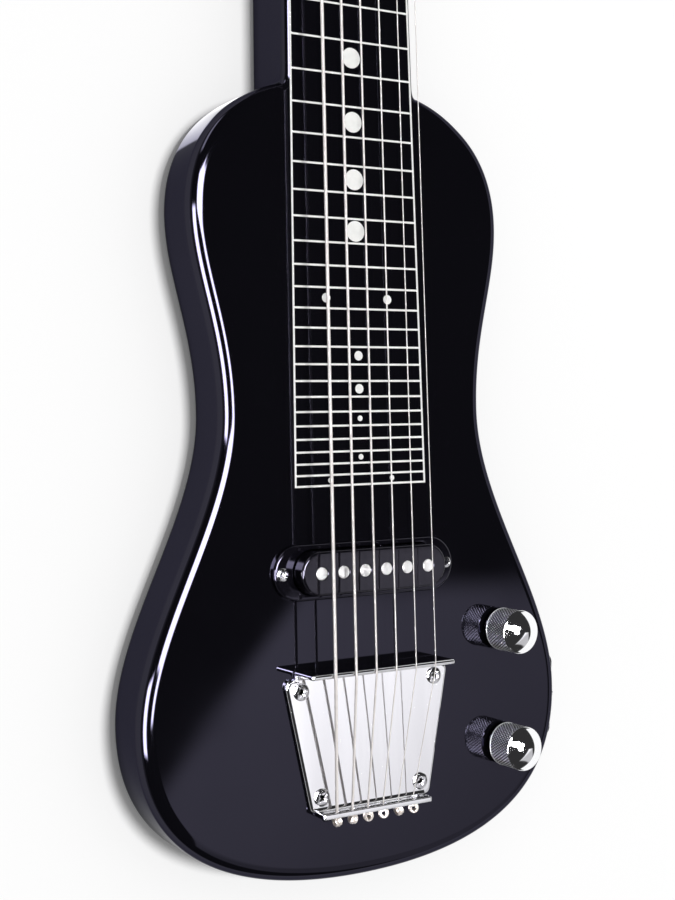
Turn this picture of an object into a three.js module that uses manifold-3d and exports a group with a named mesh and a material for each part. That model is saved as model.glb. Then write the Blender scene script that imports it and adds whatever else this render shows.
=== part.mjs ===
// A six-string electric lap steel guitar, lying on its back with the strings up.
// Millimetres. X runs across (bass side negative), Y towards the headstock, Z up out of the top.
// The origin is on the back face, on the centre line, straight below the saddle edge of the bridge.
import * as THREE from "three";
import { mergeVertices } from "three/addons/utils/BufferGeometryUtils.js";
import Module from "manifold-3d";

const wasm = await Module();
wasm.setup();

// Driving dimensions

// String layout
const scaleLength = 571.5;
const fretCount = 36;
const semitonesPerOctave = 12;
const strings = {
  diameters: [1.32, 1.07, 0.81, 0.61, 0.46, 0.38],
  saddleSpread: 47,
  nutSpread: 42.9,
  anchorSpread: 35.8,
  seatGap: 0.12,
  postGap: 0.3,
  ballDiameter: 3.8,
  ballLength: 3.2,
  tailLength: 0.6,
  sides: 8,
};

// One-piece body, neck and headstock
const body = {
  thickness: 30,
  edgeRadius: 6.2,
  neckEdgeRadius: 3,
  edgeBlendLength: 12,
  tailDistance: 83.7,
  lowerBoutHalfWidth: 98.1,
  lowerBoutDistance: 17.6,
  waistHalfWidth: 61.8,
  waistDistance: 101,
  upperBoutHalfWidth: 74.4,
  upperBoutDistance: 181.5,
  shoulderDistance: 234,
  shoulderStep: 2.2,
  neckFilletLength: 6,
  tailHandleShare: 0.513,
  boutBelowHandleShare: 0.79,
  boutAboveHandleShare: 0.321,
  waistBelowHandleShare: 0.34,
  waistAboveHandleShare: 0.42,
  upperBelowHandleShare: 0.316,
  upperAboveHandleShare: 0.513,
  shoulderRunShare: 0.635,
  shoulderDropShare: 0.14,
};
const board = {
  nutHalfWidth: 25.3,
  lastFretHalfWidth: 30.7,
  margin: 2.3,
  lineWidth: 0.8,
  printThickness: 0.15,
};
const head = {
  drop: 3.5,
  thickness: 14,
  length: 148,
  flareLength: 30,
  halfWidth: 38,
  tipHalfWidth: 33,
  crownRise: 6,
  cornerLength: 12,
  rampLength: 20,
  faceGap: 3,
};
const nut = { thickness: 5, height: 15, overhang: 1.4, crownDrop: 1.2 };

// Pickup
const pickup = {
  distance: 37.8,
  ringHalfLength: 42.3,
  ringHalfWidth: 11.1,
  ringThickness: 2.4,
  ringBevel: 1,
  ringGap: 0.3,
  coverHalfLength: 33.8,
  coverHalfWidth: 8.7,
  coverHeight: 9.7,
  coverDepth: 4,
  coverWall: 1.2,
  coverTop: 1.4,
  coverBevel: 0.6,
  poleDiameter: 5,
  poleSpread: 50,
  poleGap: 0.1,
  poleDepth: 8.5,
  flatworkThickness: 1.6,
  flatworkInset: 0.3,
  coilWall: 3.4,
  coilGap: 0.4,
  cavityGap: 1.2,
  cavityDepth: 13,
  screwInset: 3.4,
};

// Bridge: one folded plate with a tall saddle lip and a low anchor lip
const bridge = {
  length: 56.9,
  sheet: 2,
  frontHalfWidth: 39.3,
  rearHalfWidth: 27.4,
  frontSetback: 3.2,
  rearSetback: 1.8,
  frontCorner: 4,
  rearCorner: 3,
  saddleHalfWidth: 33.4,
  saddleHeight: 14.9,
  anchorHalfWidth: 25.3,
  anchorHeight: 7.4,
  anchorHoleHeight: 4.5,
  anchorHoleDiameter: 2,
  frontScrewHalfSpread: 31.3,
  frontScrewDistance: 8,
  rearScrewHalfSpread: 23.1,
  rearScrewDistance: 49.5,
};

// Controls
const controls = {
  edgeInset: 31.1,
  volumeDistance: 7.8,
  toneDistance: 40.1,
  topWall: 5,
  cavityInward: 15,
  cavityOutward: 13,
  cavityFront: 18,
  cavityRear: 49,
  cavityCorner: 10,
  ledge: 4.5,
  coverThickness: 2,
  coverRecess: 2.4,
  coverGap: 0.3,
  coverCorner: 12,
};
const knob = {
  diameter: 17.8,
  gap: 2,
  rimHeight: 15.2,
  domeRise: 3.6,
  domeShares: [1, 0.8, 0.55, 0.28, 0],
  edgeBevel: 0.4,
  recessDiameter: 14,
  recessDepth: 2.6,
  boreDepth: 10,
};
const pot = {
  canDiameter: 16.4,
  canDepth: 7,
  canFloor: 1,
  bushingDiameter: 7.4,
  bushingRise: 2.8,
  holeGap: 0.2,
  shaftDiameter: 5.8,
  shaftGap: 0.1,
  nutAcross: 11,
  nutHeight: 2.2,
  nutGap: 0.1,
};

// Output jack on the treble side
const jack = {
  distance: 24,
  plateLength: 36,
  plateHeight: 20.8,
  plateThickness: 1.3,
  plateCorner: 4,
  plateGap: 0.15,
  screwHalfSpread: 13.4,
  barrelDiameter: 12.8,
  barrelGap: 0.5,
  barrelLength: 25,
  bushingDiameter: 9.4,
  bushingRise: 2.9,
  bushingGap: 0.2,
  boreDiameter: 6.7,
  boreFloor: 1.6,
  nutAcross: 12.4,
  nutHeight: 2,
  nutGap: 0.1,
  seatGap: 0.3,
};

// Wood screws: bridge, pickup ring, back cover and jack plate
const bridgeScrew = { headDiameter: 7, headHeight: 1.5, shankDiameter: 3, shankLength: 14 };
const ringScrew = { headDiameter: 5.2, headHeight: 1.2, shankDiameter: 2.2, shankLength: 10 };
const coverScrew = { headDiameter: 5.4, headHeight: 1.4, shankDiameter: 2.2, shankLength: 9 };
const plateScrew = { headDiameter: 5.4, headHeight: 1.4, shankDiameter: 2.2, shankLength: 10 };
const screwFit = { holeGap: 0.2, headGap: 0.12, sides: 10, crownShare: 0.45 };

// Wiring
const lead = {
  diameter: 2.4,
  channelDiameter: 6,
  channelDepth: 10,
  channelOverlap: 5,
  seatGap: 0.3,
  bendShare: 0.6,
  sides: 8,
  steps: 10,
};

// Tuning machines, three on a strip each side
const tuner = {
  firstDistance: 42,
  pitch: 35,
  postOffset: 22,
  postDiameter: 6,
  postRise: 17,
  waistDiameter: 4.8,
  waistLow: 8.5,
  waistHigh: 13.5,
  stringHeight: 11,
  postGap: 0.4,
  gearDiameter: 11,
  gearTeeth: 14,
  toothDepth: 1.2,
  gearThickness: 3,
  gearGap: 1,
  plateThickness: 1.2,
  plateHalfWidth: 10,
  plateOverrun: 13,
  plateCorner: 3,
  plateGap: 0.3,
  earThickness: 1.4,
  earHalfWidth: 3,
  innerEar: 6.5,
  outerEar: 9,
  wormDiameter: 4.4,
  wormGap: 0.3,
  wormLength: 9,
  shaftDiameter: 3,
  shaftGap: 0.1,
  shaftOverrun: 0.8,
  collarDiameter: 4.6,
  collarLength: 3,
  buttonGap: 4,
  buttonLength: 17,
  buttonWidth: 14,
  buttonThickness: 6.4,
  buttonBevel: 1.6,
};

// How finely round things are cut; an arc of a shape gets two steps for each one asked
const roundSides = 20;
const smallSides = 8;
const edgeSteps = 3;
const curveSteps = 12;
const arcSteps = 5;
const cornerSteps = 2;
const overrun = 1;
const weldDistance = 1e-4;

const topZ = body.thickness;
const headTopZ = topZ - head.drop;
const headBackZ = headTopZ - head.thickness;

// Materials
const paint = (color, roughness, metalness) =>
  new THREE.MeshStandardMaterial({ color, roughness, metalness });
const lacquer = () => paint(0x0b0b0d, 0.08, 0);
const blackPlastic = () => paint(0x0d0d0f, 0.22, 0);
const chrome = () => paint(0xe2e3e8, 0.1, 1);
const nickel = () => paint(0xcfcfd2, 0.28, 1);
const steelWire = () => paint(0xc9c4be, 0.32, 1);
const whitePrint = () => paint(0xf2f3f0, 0.3, 0);
const fibre = () => paint(0x1a1a1b, 0.8, 0);
const copper = () => paint(0x9a4f2c, 0.45, 1);
const darkVinyl = () => paint(0x202022, 0.6, 0);

// Solids

// A closed geometry as a solid for joins and cuts.
function solid(geometry) {
  const plain = new THREE.BufferGeometry();
  plain.setAttribute("position", geometry.getAttribute("position").clone());
  if (geometry.index) plain.setIndex(geometry.index.clone());
  const welded = mergeVertices(plain, weldDistance);
  return new wasm.Manifold(
    new wasm.Mesh({
      numProp: 3,
      vertProperties: welded.attributes.position.array,
      triVerts: new Uint32Array(welded.index.array),
    }),
  );
}

// A solid's surface as a geometry.
function surface(piece) {
  const mesh = piece.getMesh();
  const geometry = new THREE.BufferGeometry();
  geometry.setAttribute("position", new THREE.BufferAttribute(mesh.vertProperties, 3));
  geometry.setIndex(new THREE.BufferAttribute(mesh.triVerts, 1));
  return geometry;
}

const joined = (pieces) => pieces.reduce((whole, piece) => whole.add(piece));
const cut = (piece, cutters) => cutters.reduce((rest, cutter) => rest.subtract(cutter), piece);

// An outline pushed up from one level to another.
function extruded(shape, low, high, segments = arcSteps) {
  const geometry = new THREE.ExtrudeGeometry(shape, {
    depth: high - low,
    bevelEnabled: false,
    curveSegments: segments,
  });
  return geometry.translate(0, 0, low);
}

// An outline pushed up, with its top edge bevelled inwards.
function bevelled(shape, low, high, bevel, segments = arcSteps) {
  const geometry = new THREE.ExtrudeGeometry(shape, {
    depth: high - low - 2 * bevel,
    bevelEnabled: true,
    bevelThickness: bevel,
    bevelSize: bevel,
    bevelOffset: -bevel,
    bevelSegments: 1,
    curveSegments: segments,
  });
  return geometry.translate(0, 0, low + bevel);
}

// A cylinder standing on low and reaching high, about the line x, y.
function column(radius, low, high, x = 0, y = 0, sides = roundSides) {
  const geometry = new THREE.CylinderGeometry(radius, radius, high - low, sides);
  return geometry.rotateX(Math.PI / 2).translate(x, y, (low + high) / 2);
}

// A cylinder along X, from one x to another, about the line y, z.
function rod(radius, from, to, y, z, sides = roundSides) {
  const geometry = new THREE.CylinderGeometry(radius, radius, Math.abs(to - from), sides);
  return geometry.rotateZ(Math.PI / 2).translate((from + to) / 2, y, z);
}

// The radius to give a many-sided hole so that a round of the stated radius turns freely in it.
const holeRadius = (radius, sides) => radius / Math.cos(Math.PI / sides);

// A profile of [radius, level] pairs, on the axis at both ends, turned about Z.
function turned(profile, sides = roundSides) {
  const points = profile.map(([radius, level]) => new THREE.Vector2(radius, level));
  return new THREE.LatheGeometry(points, sides).rotateX(Math.PI / 2);
}

// A box given by its lowest and highest corners.
function block([x0, y0, z0], [x1, y1, z1]) {
  const geometry = new THREE.BoxGeometry(x1 - x0, y1 - y0, z1 - z0);
  return geometry.translate((x0 + x1) / 2, (y0 + y1) / 2, (z0 + z1) / 2);
}

// A bar with half-round ends, long in X, about the centre x, y.
function stadium(halfLength, halfWidth, x = 0, y = 0) {
  const shape = new THREE.Shape();
  const run = halfLength - halfWidth;
  shape.moveTo(x - run, y - halfWidth);
  shape.lineTo(x + run, y - halfWidth);
  shape.absarc(x + run, y, halfWidth, -Math.PI / 2, Math.PI / 2, false);
  shape.lineTo(x - run, y + halfWidth);
  shape.absarc(x - run, y, halfWidth, Math.PI / 2, (3 * Math.PI) / 2, false);
  return shape;
}

// A rectangle with round corners.
function roundedRectangle(x0, y0, x1, y1, radius) {
  const shape = new THREE.Shape();
  shape.moveTo(x0 + radius, y0);
  shape.lineTo(x1 - radius, y0);
  shape.absarc(x1 - radius, y0 + radius, radius, -Math.PI / 2, 0, false);
  shape.lineTo(x1, y1 - radius);
  shape.absarc(x1 - radius, y1 - radius, radius, 0, Math.PI / 2, false);
  shape.lineTo(x0 + radius, y1);
  shape.absarc(x0 + radius, y1 - radius, radius, Math.PI / 2, Math.PI, false);
  shape.lineTo(x0, y0 + radius);
  shape.absarc(x0 + radius, y0 + radius, radius, Math.PI, (3 * Math.PI) / 2, false);
  return shape;
}

// A path through corner points whose rings sit exactly on the corners.
class CornerPath extends THREE.Curve {
  constructor(corners) {
    super();
    this.corners = corners;
  }
  getPoint(t, target = new THREE.Vector3()) {
    const last = this.corners.length - 1;
    const index = Math.min(Math.floor(t * last), last - 1);
    return target.lerpVectors(this.corners[index], this.corners[index + 1], t * last - index);
  }
  getPointAt(t, target) {
    return this.getPoint(t, target);
  }
  getTangentAt(t, target = new THREE.Vector3()) {
    const last = this.corners.length - 1;
    const index = Math.round(t * last);
    const before = this.corners[Math.max(index - 1, 0)];
    const here = this.corners[index];
    const after = this.corners[Math.min(index + 1, last)];
    const arriving = here.clone().sub(before).normalize();
    const leaving = after.clone().sub(here).normalize();
    return target.addVectors(arriving, leaving).normalize();
  }
}

// A round wire along a path.
function wire(path, radius, steps, sides) {
  const section = new THREE.Shape();
  section.absarc(0, 0, radius, 0, 2 * Math.PI, false);
  return new THREE.ExtrudeGeometry(section, {
    steps,
    extrudePath: path,
    curveSegments: sides / 2,
    bevelEnabled: false,
  });
}

// Outline of the body, neck and headstock

const fretDistance = (fret) => scaleLength * 2 ** (-fret / semitonesPerOctave);

// Half-width of the printed board, tapering evenly from the last fret to the nut.
function boardHalfWidth(y) {
  const last = fretDistance(fretCount);
  const share = (y - last) / (scaleLength - last);
  return board.lastFretHalfWidth + share * (board.nutHalfWidth - board.lastFretHalfWidth);
}
const neckHalfWidth = (y) => boardHalfWidth(y) + board.margin;

const headStartY = scaleLength + nut.thickness + head.faceGap;
const headEndY = headStartY + head.length;

// The treble-side half of the outline, from the tail to the end of the headstock.
function halfOutline() {
  const path = new THREE.Path();
  const tailY = -body.tailDistance;
  const boutY = -body.lowerBoutDistance;
  const boutDrop = boutY - tailY;
  const flankRun = body.waistDistance - boutY;
  const chestRun = body.upperBoutDistance - body.waistDistance;
  const shoulderRun = body.shoulderDistance - body.upperBoutDistance;
  const neckX = neckHalfWidth(body.shoulderDistance);
  const shoulderX = neckX + body.shoulderStep;
  const shoulderWidth = body.upperBoutHalfWidth - shoulderX;
  path.moveTo(0, tailY);
  path.bezierCurveTo(
    body.tailHandleShare * body.lowerBoutHalfWidth,
    tailY,
    body.lowerBoutHalfWidth,
    boutY - body.boutBelowHandleShare * boutDrop,
    body.lowerBoutHalfWidth,
    boutY,
  );
  path.bezierCurveTo(
    body.lowerBoutHalfWidth,
    boutY + body.boutAboveHandleShare * flankRun,
    body.waistHalfWidth,
    body.waistDistance - body.waistBelowHandleShare * flankRun,
    body.waistHalfWidth,
    body.waistDistance,
  );
  path.bezierCurveTo(
    body.waistHalfWidth,
    body.waistDistance + body.waistAboveHandleShare * chestRun,
    body.upperBoutHalfWidth,
    body.upperBoutDistance - body.upperBelowHandleShare * chestRun,
    body.upperBoutHalfWidth,
    body.upperBoutDistance,
  );
  path.bezierCurveTo(
    body.upperBoutHalfWidth,
    body.upperBoutDistance + body.upperAboveHandleShare * shoulderRun,
    shoulderX + body.shoulderRunShare * shoulderWidth,
    body.shoulderDistance - body.shoulderDropShare * shoulderRun,
    shoulderX,
    body.shoulderDistance,
  );
  const filletTop = body.shoulderDistance + body.neckFilletLength;
  path.quadraticCurveTo(neckX, body.shoulderDistance, neckHalfWidth(filletTop), filletTop);
  path.lineTo(neckHalfWidth(headStartY), headStartY);
  path.bezierCurveTo(
    neckHalfWidth(headStartY),
    headStartY + head.flareLength / 2,
    head.halfWidth,
    headStartY + head.flareLength / 2,
    head.halfWidth,
    headStartY + head.flareLength,
  );
  path.lineTo(head.tipHalfWidth, headEndY - head.cornerLength);
  path.quadraticCurveTo(
    head.tipHalfWidth,
    headEndY,
    head.tipHalfWidth - head.cornerLength,
    headEndY,
  );
  const crownX = (head.tipHalfWidth - head.cornerLength) / 2;
  path.quadraticCurveTo(crownX, headEndY + head.crownRise, 0, headEndY + head.crownRise);
  return path;
}

// Points all round the outline: one step a straight, a few a small corner, and steps a long curve.
function outlinePoints(steps) {
  const half = [];
  halfOutline().curves.forEach((curve) => {
    const curved = curve.isQuadraticBezierCurve ? edgeSteps : steps;
    curve.getPoints(curve.isLineCurve ? 1 : curved).forEach((point) => {
      const last = half[half.length - 1];
      if (!last || last.distanceTo(point) > weldDistance) half.push(point);
    });
  });
  const mirrored = half
    .slice(1, -1)
    .reverse()
    .map((point) => new THREE.Vector2(-point.x, point.y));
  return half.concat(mirrored);
}

// Each point of a closed outline moved inwards square to the outline, by a distance of its own.
function inset(points, distanceAt) {
  return points.map((point, index) => {
    const before = points[(index + points.length - 1) % points.length];
    const after = points[(index + 1) % points.length];
    const arriving = point.clone().sub(before).normalize();
    const leaving = after.clone().sub(point).normalize();
    const along = arriving.clone().add(leaving).normalize();
    const inward = new THREE.Vector2(-along.y, along.x);
    return point.clone().addScaledVector(inward, distanceAt(point) / arriving.dot(along));
  });
}

// The radius of the body's long edges, which grows smaller from the shoulder to the neck.
function edgeRadiusAt({ y }) {
  const start = body.shoulderDistance - body.edgeBlendLength;
  const end = body.shoulderDistance + body.neckFilletLength;
  const share = THREE.MathUtils.smoothstep(y, start, end);
  return THREE.MathUtils.lerp(body.edgeRadius, body.neckEdgeRadius, share);
}

// A slab whose upper and lower edges are rounded: rings of one outline, inset by a quarter circle.
function roundedSlab(points, low, high, radiusAt) {
  const ringAt = (angle, upper) =>
    inset(points, (point) => radiusAt(point) * (1 - Math.cos(angle))).map(({ x, y }, i) => {
      const drop = radiusAt(points[i]) * (1 - Math.sin(angle));
      return [x, y, upper ? high - drop : low + drop];
    });
  const angles = Array.from(
    { length: edgeSteps + 1 },
    (empty, step) => (step / edgeSteps) * (Math.PI / 2),
  );
  const lower = angles.map((angle) => ringAt(angle, false)).reverse();
  const upper = angles.map((angle) => ringAt(angle, true));
  const rings = lower.concat(upper);
  const count = points.length;
  const positions = rings.flat(2);
  const index = [];
  for (let level = 0; level < rings.length - 1; level++)
    for (let i = 0; i < count; i++) {
      const a = level * count + i;
      const b = level * count + ((i + 1) % count);
      index.push(a, b, b + count, a, b + count, a + count);
    }
  const top = (rings.length - 1) * count;
  const face = (ring) =>
    THREE.ShapeUtils.triangulateShape(ring.map(([x, y]) => new THREE.Vector2(x, y)), []);
  face(rings[0]).forEach(([a, b, c]) => index.push(a, c, b));
  face(rings[rings.length - 1]).forEach(([a, b, c]) => index.push(top + a, top + b, top + c));
  const geometry = new THREE.BufferGeometry();
  geometry.setAttribute("position", new THREE.Float32BufferAttribute(positions, 3));
  geometry.setIndex(index);
  return geometry;
}

// The outline's point and outward direction on the treble side at a distance y.
const bodyOutline = outlinePoints(curveSteps);
function sideAt(y) {
  const index = bodyOutline.findIndex((point, i) => i > 0 && point.x > 0 && point.y >= y);
  const low = bodyOutline[index - 1];
  const high = bodyOutline[index];
  const share = (y - low.y) / (high.y - low.y);
  const point = low.clone().lerp(high, share);
  const along = high.clone().sub(low).normalize();
  return { point, turn: Math.atan2(-along.x, along.y) };
}

// Places that several pieces share

const stringCount = strings.diameters.length;
const stringShare = (index) => index / (stringCount - 1) - 0.5;
const stringNumbers = strings.diameters.map((diameter, index) => index);
const anchorX = (index) => stringShare(index) * strings.anchorSpread;
const poleX = (index) => stringShare(index) * pickup.poleSpread;

const tunerSide = (index) => (index < stringCount / 2 ? -1 : 1);
const tunerPlace = (index) => (index < stringCount / 2 ? index : stringCount - 1 - index);
const tunerY = (index) => scaleLength + tuner.firstDistance + tunerPlace(index) * tuner.pitch;
const postX = (index) => tunerSide(index) * tuner.postOffset;
const plateLowZ = headBackZ - tuner.plateThickness;
const gearHighZ = plateLowZ - tuner.gearGap;
const gearLowZ = gearHighZ - tuner.gearThickness;
const wormZ = (gearHighZ + gearLowZ) / 2;
const wormReach = (tuner.gearDiameter + tuner.wormDiameter) / 2 + tuner.wormGap;
const wormY = (index) => tunerY(index) + wormReach;

const bridgeScrews = [
  [-bridge.frontScrewHalfSpread, -bridge.frontScrewDistance],
  [bridge.frontScrewHalfSpread, -bridge.frontScrewDistance],
  [-bridge.rearScrewHalfSpread, -bridge.rearScrewDistance],
  [bridge.rearScrewHalfSpread, -bridge.rearScrewDistance],
];
const ringScrews = [-1, 1].map((side) => [
  side * (pickup.ringHalfLength - pickup.screwInset),
  pickup.distance,
]);
const controlX = body.lowerBoutHalfWidth - controls.edgeInset;
const cavityInnerX = controlX - controls.cavityInward;
const cavityOuterX = controlX + controls.cavityOutward;
const controlPlaces = [
  ["volume", controlX, controls.volumeDistance],
  ["tone", controlX, -controls.toneDistance],
];
const coverMiddle = [
  (cavityInnerX + cavityOuterX) / 2,
  (controls.cavityFront - controls.cavityRear) / 2,
];
const coverScrewReach =
  (controls.cavityCorner + controls.ledge / 2 + screwFit.headGap) * Math.SQRT1_2 - controls.cavityCorner;
const coverScrewHalfX = (cavityOuterX - cavityInnerX) / 2 + coverScrewReach;
const coverScrewHalfY = (controls.cavityFront + controls.cavityRear) / 2 + coverScrewReach;
const coverScrews = [-1, 1].flatMap((along) =>
  [-1, 1].map((across) => [
    coverMiddle[0] + across * coverScrewHalfX,
    coverMiddle[1] + along * coverScrewHalfY,
  ]),
);
const plateScrews = [-1, 1].map((side) => sideAt(side * jack.screwHalfSpread - jack.distance));
const ceilingZ = topZ - controls.topWall;
const jackMid = topZ / 2;
const jackNutReach = jack.nutAcross / 2 / Math.cos(Math.PI / 6);
const jackSeatX = sideAt(-jack.distance - jack.barrelDiameter / 2).point.x + jack.plateGap;
const barrelEndX = jackSeatX - jack.barrelLength;
const jackFaceX =
  sideAt(jackNutReach - jack.distance).point.x + jack.plateGap + jack.plateThickness;

// Screws

// A wood screw standing on level 0: a crowned head above it and a plain shank below.
function screw(sizes) {
  const headRadius = sizes.headDiameter / 2;
  const shankRadius = sizes.shankDiameter / 2;
  return turned(
    [
      [0, -sizes.shankLength],
      [shankRadius, -sizes.shankLength + shankRadius],
      [shankRadius, 0],
      [headRadius, 0],
      [headRadius, sizes.headHeight * screwFit.crownShare],
      [headRadius * (1 - screwFit.crownShare), sizes.headHeight],
      [0, sizes.headHeight],
    ],
    screwFit.sides,
  );
}

// The hole that a screw's shank goes down.
function screwHole(sizes, x, y, top) {
  const radius = holeRadius(sizes.shankDiameter / 2 + screwFit.holeGap, screwFit.sides);
  const low = top - sizes.shankLength - screwFit.holeGap - overrun;
  return column(radius, low, top + overrun, x, y, screwFit.sides);
}

// Body

const controlCavity = () =>
  roundedRectangle(
    cavityInnerX,
    -controls.cavityRear,
    cavityOuterX,
    controls.cavityFront,
    controls.cavityCorner,
  );
const coverOutline = (gap) =>
  roundedRectangle(
    cavityInnerX - controls.ledge + gap,
    -controls.cavityRear - controls.ledge + gap,
    cavityOuterX + controls.ledge - gap,
    controls.cavityFront + controls.ledge - gap,
    controls.coverCorner - gap,
  );

// Two ends of the wiring channel between the pickup cavity and the control cavity.
const channelZ = topZ - lead.channelDepth;
const channelStart = new THREE.Vector3(
  pickup.coverHalfLength - lead.channelOverlap,
  pickup.distance,
  channelZ,
);
const channelEnd = new THREE.Vector3(
  cavityInnerX + lead.channelOverlap,
  controls.cavityFront - lead.channelOverlap,
  channelZ,
);
const channel = () =>
  wire(
    new THREE.LineCurve3(channelStart, channelEnd),
    lead.channelDiameter / 2,
    1,
    lead.sides,
  );

// What is taken off over the face and under the back of the headstock.
function headCuts() {
  const wide = head.halfWidth + overrun;
  const endY = headEndY + head.crownRise + overrun;
  const over = block([-wide, headStartY, headTopZ], [wide, endY, topZ + overrun]);
  const side = new THREE.Shape();
  side.moveTo(headStartY, -overrun);
  side.lineTo(headStartY, 0);
  side.bezierCurveTo(
    headStartY + head.rampLength / 2,
    0,
    headStartY + head.rampLength / 2,
    headBackZ,
    headStartY + head.rampLength,
    headBackZ,
  );
  side.lineTo(endY, headBackZ);
  side.lineTo(endY, -overrun);
  const under = extruded(side, -wide, wide, cornerSteps * 2);
  under.rotateY(Math.PI / 2).rotateX(Math.PI / 2);
  return [solid(over), solid(under)];
}

function bodyPiece() {
  const slab = solid(roundedSlab(bodyOutline, 0, topZ, edgeRadiusAt));
  const pickupCavity = extruded(
    stadium(
      pickup.coverHalfLength + pickup.cavityGap,
      pickup.coverHalfWidth + pickup.cavityGap,
      0,
      pickup.distance,
    ),
    topZ - pickup.cavityDepth,
    topZ + overrun,
    cornerSteps * 2,
  );
  const cavity = extruded(controlCavity(), -overrun, ceilingZ, cornerSteps);
  const recess = extruded(coverOutline(0), -overrun, controls.coverRecess, cornerSteps);
  const potHole = holeRadius(pot.bushingDiameter / 2 + pot.holeGap, smallSides);
  const potHoles = controlPlaces.map(([, x, y]) =>
    column(potHole, ceilingZ - overrun, topZ + overrun, x, y, smallSides),
  );
  const jackHole = rod(
    jack.barrelDiameter / 2 + jack.barrelGap,
    cavityOuterX - overrun,
    jackFaceX,
    -jack.distance,
    jackMid,
  );
  const screwHoles = [
    ...bridgeScrews.map(([x, y]) => screwHole(bridgeScrew, x, y, topZ)),
    ...ringScrews.map(([x, y]) => screwHole(ringScrew, x, y, topZ)),
  ];
  const coverHole = holeRadius(coverScrew.shankDiameter / 2 + screwFit.holeGap, screwFit.sides);
  const coverHoles = coverScrews.map(([x, y]) =>
    column(coverHole, 0, controls.coverRecess + coverScrew.shankLength, x, y, screwFit.sides),
  );
  const plateHole = holeRadius(plateScrew.shankDiameter / 2 + screwFit.holeGap, screwFit.sides);
  const plateHoles = plateScrews.map(({ point, turn }) =>
    rod(plateHole, -plateScrew.shankLength - overrun, overrun, 0, 0, screwFit.sides)
      .rotateZ(turn)
      .translate(point.x, point.y, jackMid),
  );
  const postHole = holeRadius(tuner.postDiameter / 2 + tuner.postGap, smallSides);
  const postHoles = stringNumbers.map((index) =>
    column(
      postHole,
      headBackZ - overrun,
      headTopZ + overrun,
      postX(index),
      tunerY(index),
      smallSides,
    ),
  );
  const cutters = [
    pickupCavity,
    cavity,
    recess,
    channel(),
    jackHole,
    ...potHoles,
    ...screwHoles,
    ...coverHoles,
    ...plateHoles,
    ...postHoles,
  ];
  return cut(slab, [...headCuts(), ...cutters.map(solid)]);
}

// Printed fret lines, joined by the white border of the board

function fretLines() {
  const nutEdge = scaleLength;
  const lastEdge = fretDistance(fretCount);
  const half = board.lineWidth / 2;
  const outer = new THREE.Shape();
  outer.moveTo(-boardHalfWidth(lastEdge) - half, lastEdge - half);
  outer.lineTo(boardHalfWidth(lastEdge) + half, lastEdge - half);
  outer.lineTo(boardHalfWidth(nutEdge) + half, nutEdge);
  outer.lineTo(-boardHalfWidth(nutEdge) - half, nutEdge);
  outer.closePath();
  for (let fret = 1; fret <= fretCount; fret++) {
    const low = fretDistance(fret) + half;
    const high = fretDistance(fret - 1) - half;
    const cell = new THREE.Path();
    cell.moveTo(-boardHalfWidth(low) + half, low);
    cell.lineTo(-boardHalfWidth(high) + half, high);
    cell.lineTo(boardHalfWidth(high) - half, high);
    cell.lineTo(boardHalfWidth(low) - half, low);
    cell.closePath();
    outer.holes.push(cell);
  }
  return solid(extruded(outer, topZ, topZ + board.printThickness));
}

// Nut: a tall bar with its top edges eased

function nutPiece() {
  const side = new THREE.Shape();
  const nutTop = topZ + nut.height;
  side.moveTo(scaleLength, topZ);
  side.lineTo(scaleLength + nut.thickness, topZ);
  side.lineTo(scaleLength + nut.thickness, nutTop - 2 * nut.crownDrop);
  side.quadraticCurveTo(scaleLength + nut.thickness, nutTop - nut.crownDrop, scaleLength, nutTop);
  side.closePath();
  const half = boardHalfWidth(scaleLength) + nut.overhang;
  const bar = extruded(side, -half, half, cornerSteps * 2);
  return solid(bar.rotateY(Math.PI / 2).rotateX(Math.PI / 2));
}

// Strings

// The bends of one string, from its ball end to its tuning post.
function stringCorners(index) {
  const radius = strings.diameters[index] / 2;
  const lift = radius + strings.seatGap;
  const saddleX = stringShare(index) * strings.saddleSpread;
  const nutX = stringShare(index) * strings.nutSpread;
  const side = tunerSide(index);
  const endX = postX(index) - side * (tuner.postDiameter / 2 + radius + strings.postGap);
  const saddleZ = topZ + bridge.saddleHeight + lift;
  const nutZ = topZ + nut.height + lift;
  const anchorZ = topZ + bridge.anchorHoleHeight;
  const ballY = -bridge.length - strings.seatGap - strings.ballDiameter / 2;
  return [
    new THREE.Vector3(anchorX(index), ballY, anchorZ),
    new THREE.Vector3(anchorX(index), -bridge.length + bridge.sheet + strings.tailLength, anchorZ),
    new THREE.Vector3(saddleX, -bridge.sheet - strings.tailLength, saddleZ),
    new THREE.Vector3(saddleX, 0, saddleZ),
    new THREE.Vector3(nutX, scaleLength, nutZ),
    new THREE.Vector3(endX, tunerY(index), headTopZ + tuner.stringHeight),
  ];
}

function stringPiece(index) {
  const corners = stringCorners(index);
  const radius = strings.diameters[index] / 2;
  const core = wire(new CornerPath(corners), radius, corners.length - 1, strings.sides);
  const ballRadius = strings.ballDiameter / 2;
  const half = strings.ballLength / 2;
  const start = corners[0];
  const ball =
    index % 2 === 0
      ? rod(ballRadius, start.x - half, start.x + half, start.y, start.z, smallSides)
      : column(ballRadius, start.z - half, start.z + half, start.x, start.y, smallSides);
  return solid(core).add(solid(ball));
}

// Pickup

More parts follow.
